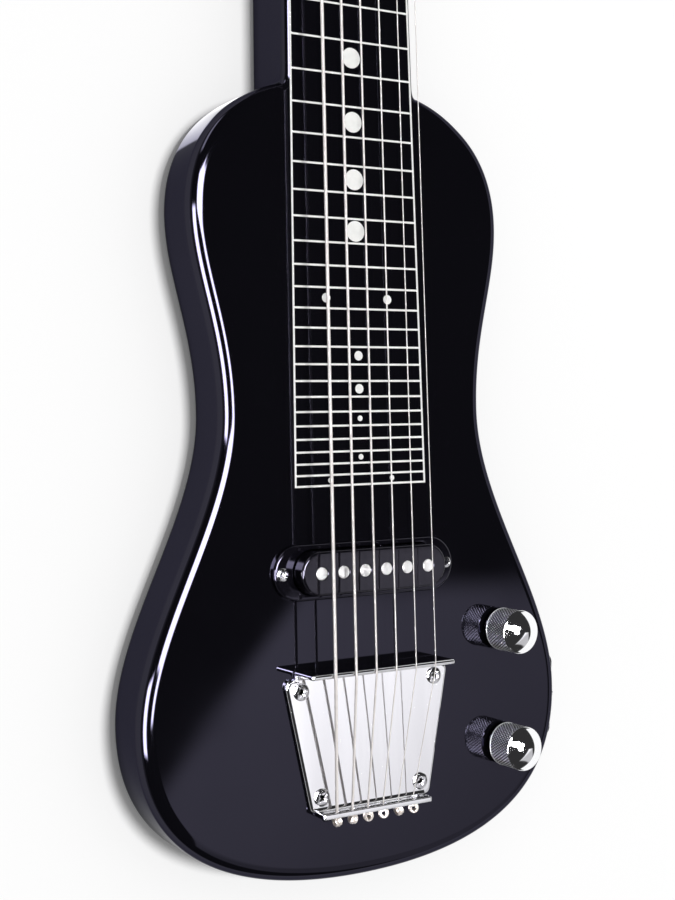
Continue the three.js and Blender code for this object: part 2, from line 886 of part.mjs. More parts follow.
function pickupRing() {
  const shape = stadium(pickup.ringHalfLength, pickup.ringHalfWidth, 0, pickup.distance);
  const plate = bevelled(shape, topZ - pickup.ringBevel, topZ + pickup.ringThickness, pickup.ringBevel);
  const belowTop = block(
    [-pickup.ringHalfLength - overrun, 0, topZ - 2 * pickup.ringBevel],
    [pickup.ringHalfLength + overrun, 2 * pickup.distance, topZ],
  );
  const window = extruded(
    stadium(
      pickup.coverHalfLength + pickup.ringGap,
      pickup.coverHalfWidth + pickup.ringGap,
      0,
      pickup.distance,
    ),
    topZ - overrun,
    topZ + pickup.ringThickness + overrun,
  );
  const holes = ringScrews.map(([x, y]) =>
    screwHole(ringScrew, x, y, topZ + pickup.ringThickness),
  );
  return cut(solid(plate), [belowTop, window, ...holes].map(solid));
}

function pickupCover() {
  const low = topZ - pickup.coverDepth;
  const high = topZ + pickup.coverHeight;
  const outer = bevelled(
    stadium(pickup.coverHalfLength, pickup.coverHalfWidth, 0, pickup.distance),
    low,
    high,
    pickup.coverBevel,
  );
  const hollow = extruded(
    stadium(
      pickup.coverHalfLength - pickup.coverWall,
      pickup.coverHalfWidth - pickup.coverWall,
      0,
      pickup.distance,
    ),
    low - overrun,
    high - pickup.coverTop,
    cornerSteps * 2,
  );
  const holes = stringNumbers.map((index) =>
    column(
      pickup.poleDiameter / 2 + pickup.poleGap,
      low,
      high + overrun,
      poleX(index),
      pickup.distance,
      smallSides,
    ),
  );
  return cut(solid(outer), [hollow, ...holes].map(solid));
}

const flatworkLow = topZ - pickup.poleDepth;
const flatworkHigh = flatworkLow + pickup.flatworkThickness;

// The fibre plate under the coil, which the poles are pressed into.
function pickupFlatwork() {
  const inside = pickup.coverWall + pickup.flatworkInset;
  const plate = extruded(
    stadium(
      pickup.coverHalfLength - inside,
      pickup.coverHalfWidth - inside,
      0,
      pickup.distance,
    ),
    flatworkLow,
    flatworkHigh,
    cornerSteps * 2,
  );
  const holes = stringNumbers.map((index) =>
    column(
      pickup.poleDiameter / 2 + pickup.poleGap,
      flatworkLow - overrun,
      flatworkHigh + overrun,
      poleX(index),
      pickup.distance,
      smallSides,
    ),
  );
  return cut(solid(plate), holes.map(solid));
}

function pickupPole(index) {
  return solid(
    column(
      pickup.poleDiameter / 2,
      flatworkLow,
      topZ + pickup.coverHeight,
      poleX(index),
      pickup.distance,
      smallSides,
    ),
  );
}

// The winding round all six poles, as one ring.
function pickupCoil() {
  const innerWidth = pickup.poleDiameter / 2 + pickup.coilGap;
  const innerLength = pickup.poleSpread / 2 + innerWidth;
  const high = topZ + pickup.coverHeight - pickup.coverTop - pickup.coilGap;
  const outer = stadium(
    innerLength + pickup.coilWall,
    innerWidth + pickup.coilWall,
    0,
    pickup.distance,
  );
  outer.holes.push(stadium(innerLength, innerWidth, 0, pickup.distance));
  return solid(extruded(outer, flatworkHigh, high, cornerSteps * 2));
}

// Bridge

function bridgePlate() {
  const rear = -bridge.length;
  const rearEdge = rear + bridge.rearSetback;
  const frontEdge = -bridge.frontSetback;
  const slope = (bridge.frontHalfWidth - bridge.rearHalfWidth) / bridge.length;
  const halfWidthAt = (y) => bridge.frontHalfWidth + slope * y;
  const rearWide = halfWidthAt(rearEdge);
  const frontWide = halfWidthAt(frontEdge);
  const rearSide = halfWidthAt(rearEdge + bridge.rearCorner);
  const frontSide = halfWidthAt(frontEdge - bridge.frontCorner);
  const shape = new THREE.Shape();
  shape.moveTo(-rearWide + bridge.rearCorner, rearEdge);
  shape.lineTo(rearWide - bridge.rearCorner, rearEdge);
  shape.quadraticCurveTo(rearWide, rearEdge, rearSide, rearEdge + bridge.rearCorner);
  shape.lineTo(frontSide, frontEdge - bridge.frontCorner);
  shape.quadraticCurveTo(frontWide, frontEdge, frontWide - bridge.frontCorner, frontEdge);
  shape.lineTo(-frontWide + bridge.frontCorner, frontEdge);
  shape.quadraticCurveTo(-frontWide, frontEdge, -frontSide, frontEdge - bridge.frontCorner);
  shape.lineTo(-rearSide, rearEdge + bridge.rearCorner);
  shape.quadraticCurveTo(-rearWide, rearEdge, -rearWide + bridge.rearCorner, rearEdge);
  const plate = extruded(shape, topZ, topZ + bridge.sheet, cornerSteps * 2);
  const saddleFoot = block(
    [-bridge.saddleHalfWidth, frontEdge - bridge.frontCorner, topZ],
    [bridge.saddleHalfWidth, 0, topZ + bridge.sheet],
  );
  const anchorFoot = block(
    [-bridge.anchorHalfWidth, rear, topZ],
    [bridge.anchorHalfWidth, rearEdge + bridge.rearCorner, topZ + bridge.sheet],
  );
  const saddle = block(
    [-bridge.saddleHalfWidth, -bridge.sheet, topZ],
    [bridge.saddleHalfWidth, 0, topZ + bridge.saddleHeight],
  );
  const anchor = block(
    [-bridge.anchorHalfWidth, rear, topZ],
    [bridge.anchorHalfWidth, rear + bridge.sheet, topZ + bridge.anchorHeight],
  );
  const anchorHoles = stringNumbers.map((index) =>
    column(
      bridge.anchorHoleDiameter / 2,
      -overrun,
      bridge.sheet + overrun,
      0,
      0,
      smallSides,
    )
      .rotateX(-Math.PI / 2)
      .translate(anchorX(index), rear, topZ + bridge.anchorHoleHeight),
  );
  const holes = bridgeScrews.map(([x, y]) => screwHole(bridgeScrew, x, y, topZ + bridge.sheet));
  const whole = joined([plate, saddleFoot, saddle, anchorFoot, anchor].map(solid));
  return cut(whole, [...anchorHoles, ...holes].map(solid));
}

// Controls

function knobPiece(x, y) {
  const radius = knob.diameter / 2;
  const low = topZ + knob.gap;
  const rim = topZ + knob.rimHeight;
  const recessTop = low + knob.recessDepth;
  const bore = pot.shaftDiameter / 2 + pot.shaftGap;
  const domeRadius = radius - knob.edgeBevel;
  const dome = knob.domeShares.map((share) => [
    domeRadius * share,
    rim + knob.domeRise * (1 - share ** 2),
  ]);
  return solid(
    turned([
      [0, low + knob.boreDepth],
      [bore, low + knob.boreDepth],
      [bore, recessTop],
      [knob.recessDiameter / 2, recessTop],
      [knob.recessDiameter / 2, low],
      [radius - knob.edgeBevel, low],
      [radius, low + knob.edgeBevel],
      [radius, rim - knob.edgeBevel],
      ...dome,
    ]).translate(x, y, 0),
  );
}

const shaftFloor = ceilingZ - pot.canDepth + pot.canFloor;

function potPiece(x, y) {
  const bore = pot.shaftDiameter / 2 + pot.shaftGap;
  const bushing = pot.bushingDiameter / 2;
  const can = pot.canDiameter / 2;
  return solid(
    turned([
      [0, ceilingZ - pot.canDepth],
      [can, ceilingZ - pot.canDepth],
      [can, ceilingZ],
      [bushing, ceilingZ],
      [bushing, topZ + pot.bushingRise],
      [bore, topZ + pot.bushingRise],
      [bore, shaftFloor],
      [0, shaftFloor],
    ]).translate(x, y, 0),
  );
}

function shaftPiece(x, y) {
  const high = topZ + knob.gap + knob.boreDepth - pot.shaftGap;
  return solid(column(pot.shaftDiameter / 2, shaftFloor + pot.shaftGap, high, x, y));
}

// A six-sided nut standing on level 0, with a hole up its axis.
function hexNut(across, height, hole) {
  const corner = across / 2 / Math.cos(Math.PI / 6);
  const blank = column(corner, 0, height, 0, 0, 6);
  return solid(blank).subtract(solid(column(hole, -overrun, height + overrun)));
}

function potNut(x, y) {
  const hole = pot.bushingDiameter / 2 + pot.nutGap;
  return hexNut(pot.nutAcross, pot.nutHeight, hole).translate([x, y, topZ]);
}

// Output jack

// A curved plate that follows the side of the body.
function jackPlate() {
  const low = -jack.distance - jack.plateLength / 2;
  const high = -jack.distance + jack.plateLength / 2;
  const outward = (distance) =>
    inset(bodyOutline, () => -distance).filter(
      ({ x, y }) => x > cavityInnerX && Math.abs(y + jack.distance) < jack.plateLength,
    );
  const inner = outward(jack.plateGap);
  const outer = outward(jack.plateGap + jack.plateThickness);
  const band = new THREE.Shape(outer.concat(inner.reverse()));
  const strip = extruded(band, 0, topZ);
  const face = roundedRectangle(
    low,
    jackMid - jack.plateHeight / 2,
    high,
    jackMid + jack.plateHeight / 2,
    jack.plateCorner,
  );
  const window = extruded(face, cavityOuterX, jackFaceX + jack.plateLength, cornerSteps);
  window.rotateY(Math.PI / 2).rotateX(Math.PI / 2);
  const hole = rod(
    jack.bushingDiameter / 2 + jack.bushingGap,
    cavityOuterX,
    jackFaceX + overrun,
    -jack.distance,
    jackMid,
  );
  const screwRadius = holeRadius(plateScrew.shankDiameter / 2 + screwFit.holeGap, screwFit.sides);
  const reach = jack.plateThickness + jack.plateGap + overrun;
  const screwHoles = plateScrews.map(({ point, turn }) =>
    rod(screwRadius, -reach, reach, 0, 0, screwFit.sides)
      .rotateZ(turn)
      .translate(point.x, point.y, jackMid),
  );
  return cut(solid(strip).intersect(solid(window)), [hole, ...screwHoles].map(solid));
}

// The jack's threaded bushing and closed barrel, open only at its mouth.
function jackSocket() {
  const shoulder = jackSeatX - jack.seatGap;
  const mouth = jackFaceX + jack.bushingRise;
  const bore = jack.boreDiameter / 2;
  const profile = [
    [0, barrelEndX],
    [jack.barrelDiameter / 2, barrelEndX],
    [jack.barrelDiameter / 2, shoulder],
    [jack.bushingDiameter / 2, shoulder],
    [jack.bushingDiameter / 2, mouth],
    [bore, mouth],
    [bore, barrelEndX + jack.boreFloor],
    [0, barrelEndX + jack.boreFloor],
  ];
  return solid(turned(profile).rotateY(Math.PI / 2).translate(0, -jack.distance, jackMid));
}

function jackNut() {
  const hole = jack.bushingDiameter / 2 + jack.nutGap;
  return hexNut(jack.nutAcross, jack.nutHeight, hole)
    .rotate([0, 90, 0])
    .translate([jackFaceX + jack.seatGap, -jack.distance, jackMid]);
}

// Back cover of the control cavity

function controlCover() {
  const low = controls.coverRecess - controls.coverThickness;
  const plate = extruded(coverOutline(controls.coverGap), low, controls.coverRecess, cornerSteps);
  const holes = coverScrews.map(([x, y]) =>
    screwHole(coverScrew, x, y, controls.coverRecess),
  );
  const sinkRadius = holeRadius(coverScrew.headDiameter / 2 + screwFit.holeGap, smallSides);
  const sinks = coverScrews.map(([x, y]) =>
    column(sinkRadius, low - overrun, low + coverScrew.headHeight, x, y, smallSides),
  );
  return cut(solid(plate), [...holes, ...sinks].map(solid));
}

function coverScrewPiece([x, y]) {
  const seat = controls.coverRecess - controls.coverThickness + coverScrew.headHeight;
  return solid(
    screw(coverScrew)
      .rotateX(Math.PI)
      .translate(x, y, seat - screwFit.headGap),
  );
}

// Wiring

// The lead runs down the channel and turns towards the can of the volume control.
function pickupLead() {
  const [, potX, potY] = controlPlaces[0];
  const centre = new THREE.Vector3(potX, potY, channelZ);
  const away = channelEnd.clone().sub(centre).normalize();
  const reach = (pot.canDiameter + lead.diameter) / 2 + lead.seatGap;
  const end = centre.addScaledVector(away, reach);
  const path = new THREE.QuadraticBezierCurve3(channelStart, channelEnd, end);
  return solid(wire(path, lead.diameter / 2, lead.steps, lead.sides));
}

// The lead leaves the closed end of the jack and rises to the side of the volume control.
function jackLead() {
  const [, potX, potY] = controlPlaces[0];
  const potEdge = potY - pot.canDiameter / 2 - lead.seatGap;
  const start = new THREE.Vector3(barrelEndX - lead.seatGap, -jack.distance, jackMid);
  const end = new THREE.Vector3(potX, potEdge, ceilingZ - pot.canDepth / 2);
  const between = start.clone().lerp(end, lead.bendShare);
  const leaving = new THREE.Vector3(between.x, start.y, start.z);
  const arriving = new THREE.Vector3(end.x, between.y, end.z);
  const path = new THREE.CubicBezierCurve3(start, leaving, arriving, end);
  return solid(wire(path, lead.diameter / 2, lead.steps, lead.sides));
}

// Tuning machines

// The strip of one side, with two ears for each worm shaft.
function tunerPlate(side) {
  const first = scaleLength + tuner.firstDistance;
  const last = first + (stringCount / 2 - 1) * tuner.pitch;
  const x0 = side * tuner.postOffset - tuner.plateHalfWidth;
  const x1 = side * tuner.postOffset + tuner.plateHalfWidth;
  const strip = extruded(
    roundedRectangle(x0, first - tuner.plateOverrun, x1, last + tuner.plateOverrun, tuner.plateCorner),
    plateLowZ,
    headBackZ,
    cornerSteps,
  );
  const indices = stringNumbers.filter((index) => tunerSide(index) === side);
  const earLow = wormZ - tuner.earHalfWidth;
  const ears = indices.flatMap((index) =>
    [-tuner.innerEar, tuner.outerEar].map((offset) => {
      const middle = postX(index) + side * offset;
      const y = wormY(index);
      return block(
        [middle - tuner.earThickness / 2, y - tuner.earHalfWidth, earLow],
        [middle + tuner.earThickness / 2, y + tuner.earHalfWidth, headBackZ],
      );
    }),
  );
  const postHole = holeRadius(tuner.postDiameter / 2 + tuner.plateGap, smallSides);
  const postHoles = indices.map((index) =>
    column(
      postHole,
      plateLowZ - overrun,
      headBackZ + overrun,
      postX(index),
      tunerY(index),
      smallSides,
    ),
  );
  const shaftHole = holeRadius(tuner.shaftDiameter / 2 + tuner.shaftGap, smallSides);
  const shaftHoles = indices.map((index) =>
    rod(
      shaftHole,
      postX(index) - 2 * tuner.plateHalfWidth,
      postX(index) + 2 * tuner.plateHalfWidth,
      wormY(index),
      wormZ,
      smallSides,
    ),
  );
  const whole = joined([strip, ...ears].map(solid));
  return cut(whole, [...postHoles, ...shaftHoles].map(solid));
}

// A string post with its toothed wheel below the strip.
function tunerPost(index) {
  const radius = tuner.postDiameter / 2;
  const waist = tuner.waistDiameter / 2;
  const post = turned(
    [
      [0, gearLowZ],
      [radius, gearLowZ],
      [radius, headTopZ + tuner.waistLow],
      [waist, headTopZ + tuner.stringHeight],
      [radius, headTopZ + tuner.waistHigh],
      [radius, headTopZ + tuner.postRise - radius / 2],
      [radius / 2, headTopZ + tuner.postRise],
      [0, headTopZ + tuner.postRise],
    ],
    smallSides,
  );
  const wheel = new THREE.Shape();
  const outer = tuner.gearDiameter / 2;
  const root = outer - tuner.toothDepth;
  for (let step = 0; step < 2 * tuner.gearTeeth; step++) {
    const angle = (step * Math.PI) / tuner.gearTeeth;
    const reach = step % 2 === 0 ? outer : root;
    const place = [reach * Math.cos(angle), reach * Math.sin(angle)];
    if (step === 0) wheel.moveTo(...place);
    else wheel.lineTo(...place);
  }
  wheel.closePath();
  const gear = extruded(wheel, gearLowZ, gearHighZ);
  return solid(post).add(solid(gear)).translate([postX(index), tunerY(index), 0]);
}

// A worm shaft with its collar and oval button outside the headstock.
function tunerButton(index) {
  const side = tunerSide(index);
  const inner = -tuner.innerEar - tuner.earThickness / 2 - tuner.shaftOverrun;
  const collarStart = tuner.outerEar + tuner.earThickness / 2 + tuner.wormGap;
  const buttonStart = head.halfWidth - tuner.postOffset + tuner.buttonGap;
  const buttonMiddle = buttonStart + tuner.buttonLength / 2;
  const shaft = rod(tuner.shaftDiameter / 2, inner, buttonMiddle, 0, 0, smallSides);
  const worm = rod(
    tuner.wormDiameter / 2,
    -tuner.wormLength / 2,
    tuner.wormLength / 2,
    0,
    0,
    smallSides,
  );
  const collar = rod(
    tuner.collarDiameter / 2,
    collarStart,
    collarStart + tuner.collarLength,
    0,
    0,
    smallSides,
  );
  const oval = new THREE.Shape();
  oval.absellipse(
    buttonMiddle,
    0,
    tuner.buttonLength / 2,
    tuner.buttonWidth / 2,
    0,
    2 * Math.PI,
    false,
  );
  const half = tuner.buttonThickness / 2;
  const button = bevelled(oval, -half, half, tuner.buttonBevel, smallSides / 2);
  const whole = joined([shaft, worm, collar, button].map(solid));
  const facing = side > 0 ? whole : whole.rotate([0, 0, 180]);
  return facing.translate([postX(index), wormY(index), wormZ]);
}

// The whole guitar

const guitar = new THREE.Group();

function add(name, piece, material) {
  const mesh = new THREE.Mesh(surface(piece), material);
  mesh.name = name;
  guitar.add(mesh);
}

add("body", bodyPiece(), lacquer());
add("fret_lines", fretLines(), whitePrint());
add("nut", nutPiece(), chrome());
stringNumbers.forEach((index) => add(`string_${index + 1}`, stringPiece(index), steelWire()));

add("pickup_ring", pickupRing(), blackPlastic());
add("pickup_cover", pickupCover(), blackPlastic());
add("pickup_flatwork", pickupFlatwork(), fibre());
add("pickup_coil", pickupCoil(), copper());
stringNumbers.forEach((index) => add(`pickup_pole_${index + 1}`, pickupPole(index), nickel()));
ringScrews.forEach(([x, y], index) => {
  const seat = topZ + pickup.ringThickness + screwFit.headGap;
  add(`pickup_screw_${index + 1}`, solid(screw(ringScrew).translate(x, y, seat)), chrome());
});

add("bridge_plate", bridgePlate(), chrome());
bridgeScrews.forEach(([x, y], index) => {
  const seat = topZ + bridge.sheet + screwFit.headGap;
  add(`bridge_screw_${index + 1}`, solid(screw(bridgeScrew).translate(x, y, seat)), chrome());
});

controlPlaces.forEach(([name, x, y]) => {
  add(`${name}_knob`, knobPiece(x, y), chrome());
  add(`${name}_shaft`, shaftPiece(x, y), nickel());
  add(`${name}_pot`, potPiece(x, y), nickel());
  add(`${name}_nut`, potNut(x, y), chrome());
});

add("jack_plate", jackPlate(), blackPlastic());
add("jack_socket", jackSocket(), nickel());
add("jack_nut", jackNut(), chrome());
plateScrews.forEach(({ point, turn }, index) => {
  const reach = jack.plateGap + jack.plateThickness + screwFit.headGap;
  const piece = screw(plateScrew)
    .rotateY(Math.PI / 2)
    .translate(reach, 0, 0)
    .rotateZ(turn)
    .translate(point.x, point.y, jackMid);
  add(`jack_plate_screw_${index + 1}`, solid(piece), chrome());
});

add("control_cover", controlCover(), blackPlastic());
coverScrews.forEach((place, index) =>
  add(`control_cover_screw_${index + 1}`, coverScrewPiece(place), chrome()),
);
add("pickup_lead", pickupLead(), darkVinyl());
add("jack_lead", jackLead(), darkVinyl());

add("tuner_plate_bass", tunerPlate(-1), nickel());
add("tuner_plate_treble", tunerPlate(1), nickel());
stringNumbers.forEach((index) => {
  add(`tuner_post_${index + 1}`, tunerPost(index), chrome());
  add(`tuner_button_${index + 1}`, tunerButton(index), chrome());
});

export default guitar;
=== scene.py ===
import math
import bmesh
import bpy
import numpy as np
from mathutils import Matrix, Vector
from mathutils.geometry import delaunay_2d_cdt


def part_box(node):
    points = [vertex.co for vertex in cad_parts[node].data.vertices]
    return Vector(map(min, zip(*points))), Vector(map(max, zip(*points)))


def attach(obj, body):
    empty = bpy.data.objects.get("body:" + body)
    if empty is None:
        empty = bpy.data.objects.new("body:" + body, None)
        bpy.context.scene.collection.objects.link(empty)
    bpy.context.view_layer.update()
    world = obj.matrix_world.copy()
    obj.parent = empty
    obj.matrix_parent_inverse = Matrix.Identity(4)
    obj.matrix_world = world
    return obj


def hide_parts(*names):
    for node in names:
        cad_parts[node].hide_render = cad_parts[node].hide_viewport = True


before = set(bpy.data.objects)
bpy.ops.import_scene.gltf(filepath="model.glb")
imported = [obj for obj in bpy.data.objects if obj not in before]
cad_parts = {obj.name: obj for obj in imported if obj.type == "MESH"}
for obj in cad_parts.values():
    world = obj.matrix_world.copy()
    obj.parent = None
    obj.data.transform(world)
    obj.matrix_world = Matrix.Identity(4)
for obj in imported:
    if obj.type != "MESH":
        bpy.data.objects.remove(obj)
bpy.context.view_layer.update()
mm = 0.001  # shapes are worked out in millimetres
quarter, fullTurn = math.pi / 2, math.pi * 2
white = (1.0, 1.0, 1.0)


# Shader maths

def opaque(colour):  # a colour that covers fully
    return (*colour, 1.0)


class Wire:
    # a socket in a sum: each operator adds one Math node
    def __init__(self, recipe, socket):
        self.recipe, self.socket = recipe, socket

    def maths(self, operation, *others):
        values = dict(enumerate((self, *others)))
        return self.recipe.node("Math", values, operation=operation)

    def __add__(self, other):
        return self.maths("ADD", other)

    def __sub__(self, other):
        return self.maths("SUBTRACT", other)

    def __rsub__(self, other):
        return self.recipe.node("Math", {0: other, 1: self}, operation="SUBTRACT")

    def __mul__(self, other):
        return self.maths("MULTIPLY", other)

    def __neg__(self):
        return self * -1.0

    def ramp(self, low, high):  # 0 at low, 1 at high, eased at both ends
        values = {"Value": self, "From Min": low, "From Max": high}
        return self.recipe.node("MapRange", values, interpolation_type="SMOOTHSTEP")

    __radd__ = __add__
    __rmul__ = __mul__


class Recipe:
    # the nodes of one material or of the world
    def __init__(self, tree):
        self.tree = tree
        tree.nodes.clear()

    def node(self, kind, values=None, output=0, **settings):
        fresh = self.tree.nodes.new("ShaderNode" + kind)
        for key, value in settings.items():
            setattr(fresh, key, value)
        for key, value in (values or {}).items():
            if isinstance(value, Wire):
                self.tree.links.new(value.socket, fresh.inputs[key])
            else:
                fresh.inputs[key].default_value = value
        return Wire(self, fresh.outputs[output]) if fresh.outputs else None

    def blend(self, share, low, high):  # one colour fading into another
        values = {0: share, 6: opaque(low), 7: opaque(high)}
        return self.node("Mix", values, output=2, data_type="RGBA")

    def split(self, place, *axes):  # the chosen coordinates of a place
        return (self.node("SeparateXYZ", {0: place}, axis) for axis in axes)

    def rays(self, *kinds):  # what the light path says of a ray
        return (self.node("LightPath", output=kind) for kind in kinds)


# Finishes

plainLook = dict(metal=0.0, bend=1.5, tint=white, stretch=(1, 1, 1), depth=0.00001)
finishes = {
    "bodyLacquer": dict(low=(0.0276, 0.0264, 0.0388), high=(0.0304, 0.0290, 0.0426), metal=0.9,
                        gloss=(0.035, 0.075), bend=1.52, tint=(0.41, 0.41, 0.43),
                        drift=9, grain=55, lift=0.03, depth=0.00003),
    "linePrint": dict(low=(0.89, 0.89, 0.87), high=(0.95, 0.95, 0.93), gloss=(0.28, 0.45),
                      drift=300, grain=2500, lift=0.15, depth=0.00002),
    "polishedChrome": dict(low=(0.86, 0.86, 0.88), high=(0.94, 0.94, 0.96), gloss=(0.03, 0.09),
                           metal=1.0, drift=60, grain=900, lift=0.02, stretch=(1, 0.12, 1)),
    "knobChrome": dict(low=(0.78, 0.78, 0.80), high=(0.90, 0.90, 0.92), gloss=(0.07, 0.16),
                       metal=1.0, drift=120, grain=1400, lift=0.05),
    "screwChrome": dict(low=(0.72, 0.72, 0.74), high=(0.88, 0.88, 0.90), gloss=(0.08, 0.2),
                        metal=1.0, drift=400, grain=2400, lift=0.08),
    "blackPlastic": dict(low=(0.0030, 0.0027, 0.0045), high=(0.0050, 0.0046, 0.0070),
                         gloss=(0.04, 0.09), bend=1.52, tint=(0.72, 0.69, 0.94),
                         drift=120, grain=900, lift=0.06, depth=0.00002),
    "satinPlastic": dict(low=(0.0035, 0.0032, 0.0050), high=(0.0055, 0.0050, 0.0075),
                         gloss=(0.06, 0.11), bend=1.52, tint=(0.78, 0.75, 0.94),
                         drift=150, grain=1200, lift=0.08, depth=0.00002),
    "coverPlastic": dict(low=(0.010, 0.010, 0.011), high=(0.018, 0.018, 0.019), gloss=(0.42, 0.6),
                         drift=80, grain=1600, lift=0.45, depth=0.00006),
    "poleSteel": dict(low=(0.86, 0.85, 0.85), high=(0.93, 0.92, 0.92), gloss=(0.38, 0.5),
                      metal=0.25, drift=500, grain=3000, lift=0.08, depth=0.00002),
    "platedSteel": dict(low=(0.62, 0.62, 0.63), high=(0.78, 0.78, 0.79), gloss=(0.16, 0.3),
                        metal=1.0, drift=150, grain=1800, lift=0.1, depth=0.00002),
    "brassEnds": dict(low=(0.84, 0.76, 0.70), high=(0.95, 0.89, 0.84), gloss=(0.3, 0.42),
                      metal=0.4, drift=600, grain=2500, lift=0.1),
    "leadJacket": dict(low=(0.012, 0.012, 0.014), high=(0.024, 0.024, 0.027), gloss=(0.5, 0.7),
                       drift=200, grain=1500, lift=0.3, depth=0.00005),
}
windings = {
    "woundString": dict(low=(0.72, 0.65, 0.63), high=(0.98, 0.95, 0.93), gloss=(0.26, 0.34),
                        axis=1, pitch=0.24, lift=0.2, depth=0.00003, bend=1.45),
    "plainString": dict(low=(0.88, 0.83, 0.81), high=(0.96, 0.93, 0.91), gloss=(0.24, 0.32),
                        axis=1, pitch=9.0, lift=0.05, bend=1.45),
    "copperWire": dict(low=(0.32, 0.12, 0.05), high=(0.62, 0.27, 0.13), gloss=(0.25, 0.4),
                       axis=2, pitch=0.16, lift=0.5, depth=0.00003, metal=1.0),
}
# the knurl's colours: near black in the grooves is painted shade, white on the diamonds is a
# painted highlight
knurlLook = dict(grooveShade=(0.015, 0.015, 0.02), crestHighlight=(0.97, 0.975, 0.99), cut=0.30, dome=0.05,
                 haze=0.03, dull=0.85, lift=0.03)
fibreLook = dict(low=(0.008, 0.008, 0.009), high=(0.03, 0.029, 0.028), gloss=(0.65, 0.85),
                 lift=0.4, depth=0.00006)


def startFinish(name):
    # a new material, its recipe and the object coordinates
    material = bpy.data.materials.new(name)
    material.use_nodes = True
    recipe = Recipe(material.node_tree)
    return material, recipe, recipe.node("TexCoord", output="Object")


def spots(recipe, place, scale, detail=2.0, stretch=(1, 1, 1)):
    # noise on object coordinates, from 0 to 1
    sizes = tuple(scale * share for share in stretch)
    scaled = recipe.node("Mapping", {"Vector": place, "Scale": sizes})
    return recipe.node("TexNoise", {"Vector": scaled, "Scale": 1.0, "Detail": detail,
                                    "Roughness": 0.5})


def closeFinish(recipe, colour, gloss, height, look):
    # the height raised to a normal, and all of it in one shader
    raised = recipe.node("Bump", {"Strength": look["lift"], "Distance": look["depth"],
                                  "Height": height})
    skin = recipe.node("BsdfPrincipled", {
        "Base Color": colour, "Roughness": gloss, "Normal": raised, "Metallic": look["metal"],
        "IOR": look["bend"], "Specular Tint": opaque(look["tint"])})
    recipe.node("OutputMaterial", {"Surface": skin})


def within(share, limits):  # a share from 0 to 1 laid between two limits
    return share * (limits[1] - limits[0]) + limits[0]


def mottledFinish(name):
    # colour drifts between two tones, gloss with a wider noise, and a fine grain raises the skin
    look = plainLook | finishes[name]
    material, recipe, place = startFinish(name)
    drift = spots(recipe, place, look["drift"], 3.0, look["stretch"])
    haze = spots(recipe, place, look["drift"] * 2.7, 2.0, look["stretch"])
    colour = recipe.blend(drift.ramp(0.35, 0.65), look["low"], look["high"])
    gloss = within(haze.ramp(0.3, 0.75), look["gloss"])
    closeFinish(recipe, colour, gloss, spots(recipe, place, look["grain"]), look)
    return material


def windingFinish(name):
    # fine turns of wire along one axis: a sine of that coordinate raises the skin and darkens its
    # colour where it is low, a painted shade in the grooves between turns
    look = plainLook | windings[name]
    material, recipe, place = startFinish(name)
    along, = recipe.split(place, look["axis"])
    turns = (along * (fullTurn / (look["pitch"] * mm))).maths("SINE") * 0.5 + 0.5
    drift = spots(recipe, place, 160)
    # darker where the sine dips: painted shade in the grooves between turns of wound wire
    colour = recipe.blend(turns * 0.7 + drift * 0.3, look["low"], look["high"])
    closeFinish(recipe, colour, within(drift.ramp(0.3, 0.7), look["gloss"]), turns, look)
    return material


def knurlFinish():
    # the mesh carries a height from 0 in the grooves to 1 on the diamonds and 2 on the polished
    # dome; it sets the colour, the gloss and how much of the skin is bare metal. The grooves are
    # painted near black as a painted shade, and the diamonds a matt white with less metal as a
    # painted highlight
    look = plainLook | knurlLook
    material, recipe, place = startFinish("knurledChrome")
    height = recipe.node("Attribute", output="Fac", attribute_name="height")
    haze, polished = spots(recipe, place, 700), height.ramp(1.1, 1.9)
    # painted shade in the grooves, painted highlight on the diamonds
    colour = recipe.blend(height.ramp(0.12, 0.6), look["grooveShade"], look["crestHighlight"])
    gloss = within(polished, (look["cut"], look["dome"])) + haze.ramp(0.3, 0.7) * look["haze"]
    # the diamonds lose most of their metal so that their white shows as a matt painted highlight
    look["metal"] = 1.0 - height.ramp(0.3, 0.8) * (1.0 - polished) * look["dull"]
    closeFinish(recipe, colour, gloss, haze, look)
    return material


def fibreFinish():
    # pressed fibre: long streaks across short dark flecks
    look = plainLook | fibreLook
    material, recipe, place = startFinish("fibreBoard")
    streaks = spots(recipe, place, 900, 3.0, (0.08, 1, 1))
    flecks = spots(recipe, place, 2200)
    colour = recipe.blend(streaks * 0.7 + flecks * 0.3, look["low"], look["high"])
    closeFinish(recipe, colour, within(flecks, look["gloss"]), streaks, look)
    return material


made = {name: mottledFinish(name) for name in finishes}
made.update((name, windingFinish(name)) for name in windings)
made.update(fibreBoard=fibreFinish(), knurledChrome=knurlFinish())
print("finishes", len(made))


# Shapes

alongX = np.array([[0, 0, 1], [1, 0, 0], [0, 1, 0]])  # carries the Z axis to X
upsideDown = np.diag([1, -1, -1])


def aboutZ(angle):
    # cosines on the diagonal, sines across it
    return np.array([[math.cos(angle), -math.sin(angle), 0], [math.sin(angle), math.cos(angle), 0],
                     [0, 0, 1]])


def unit(vectors):
    # each vector divided by its length
    return vectors / np.linalg.norm(vectors, axis=-1, keepdims=True)


def eased(share):  # smooth step from 0 to 1
    share = np.clip(share, 0, 1)
    return share * share * (3 - 2 * share)


def around(sides):  # angles evenly round a circle
    return np.arange(sides) / sides * fullTurn


def polar(radius, angle, level):  # (r cos a, r sin a, level)
    parts = np.broadcast_arrays(radius * np.cos(angle), radius * np.sin(angle), level)
    return np.stack(parts, -1)


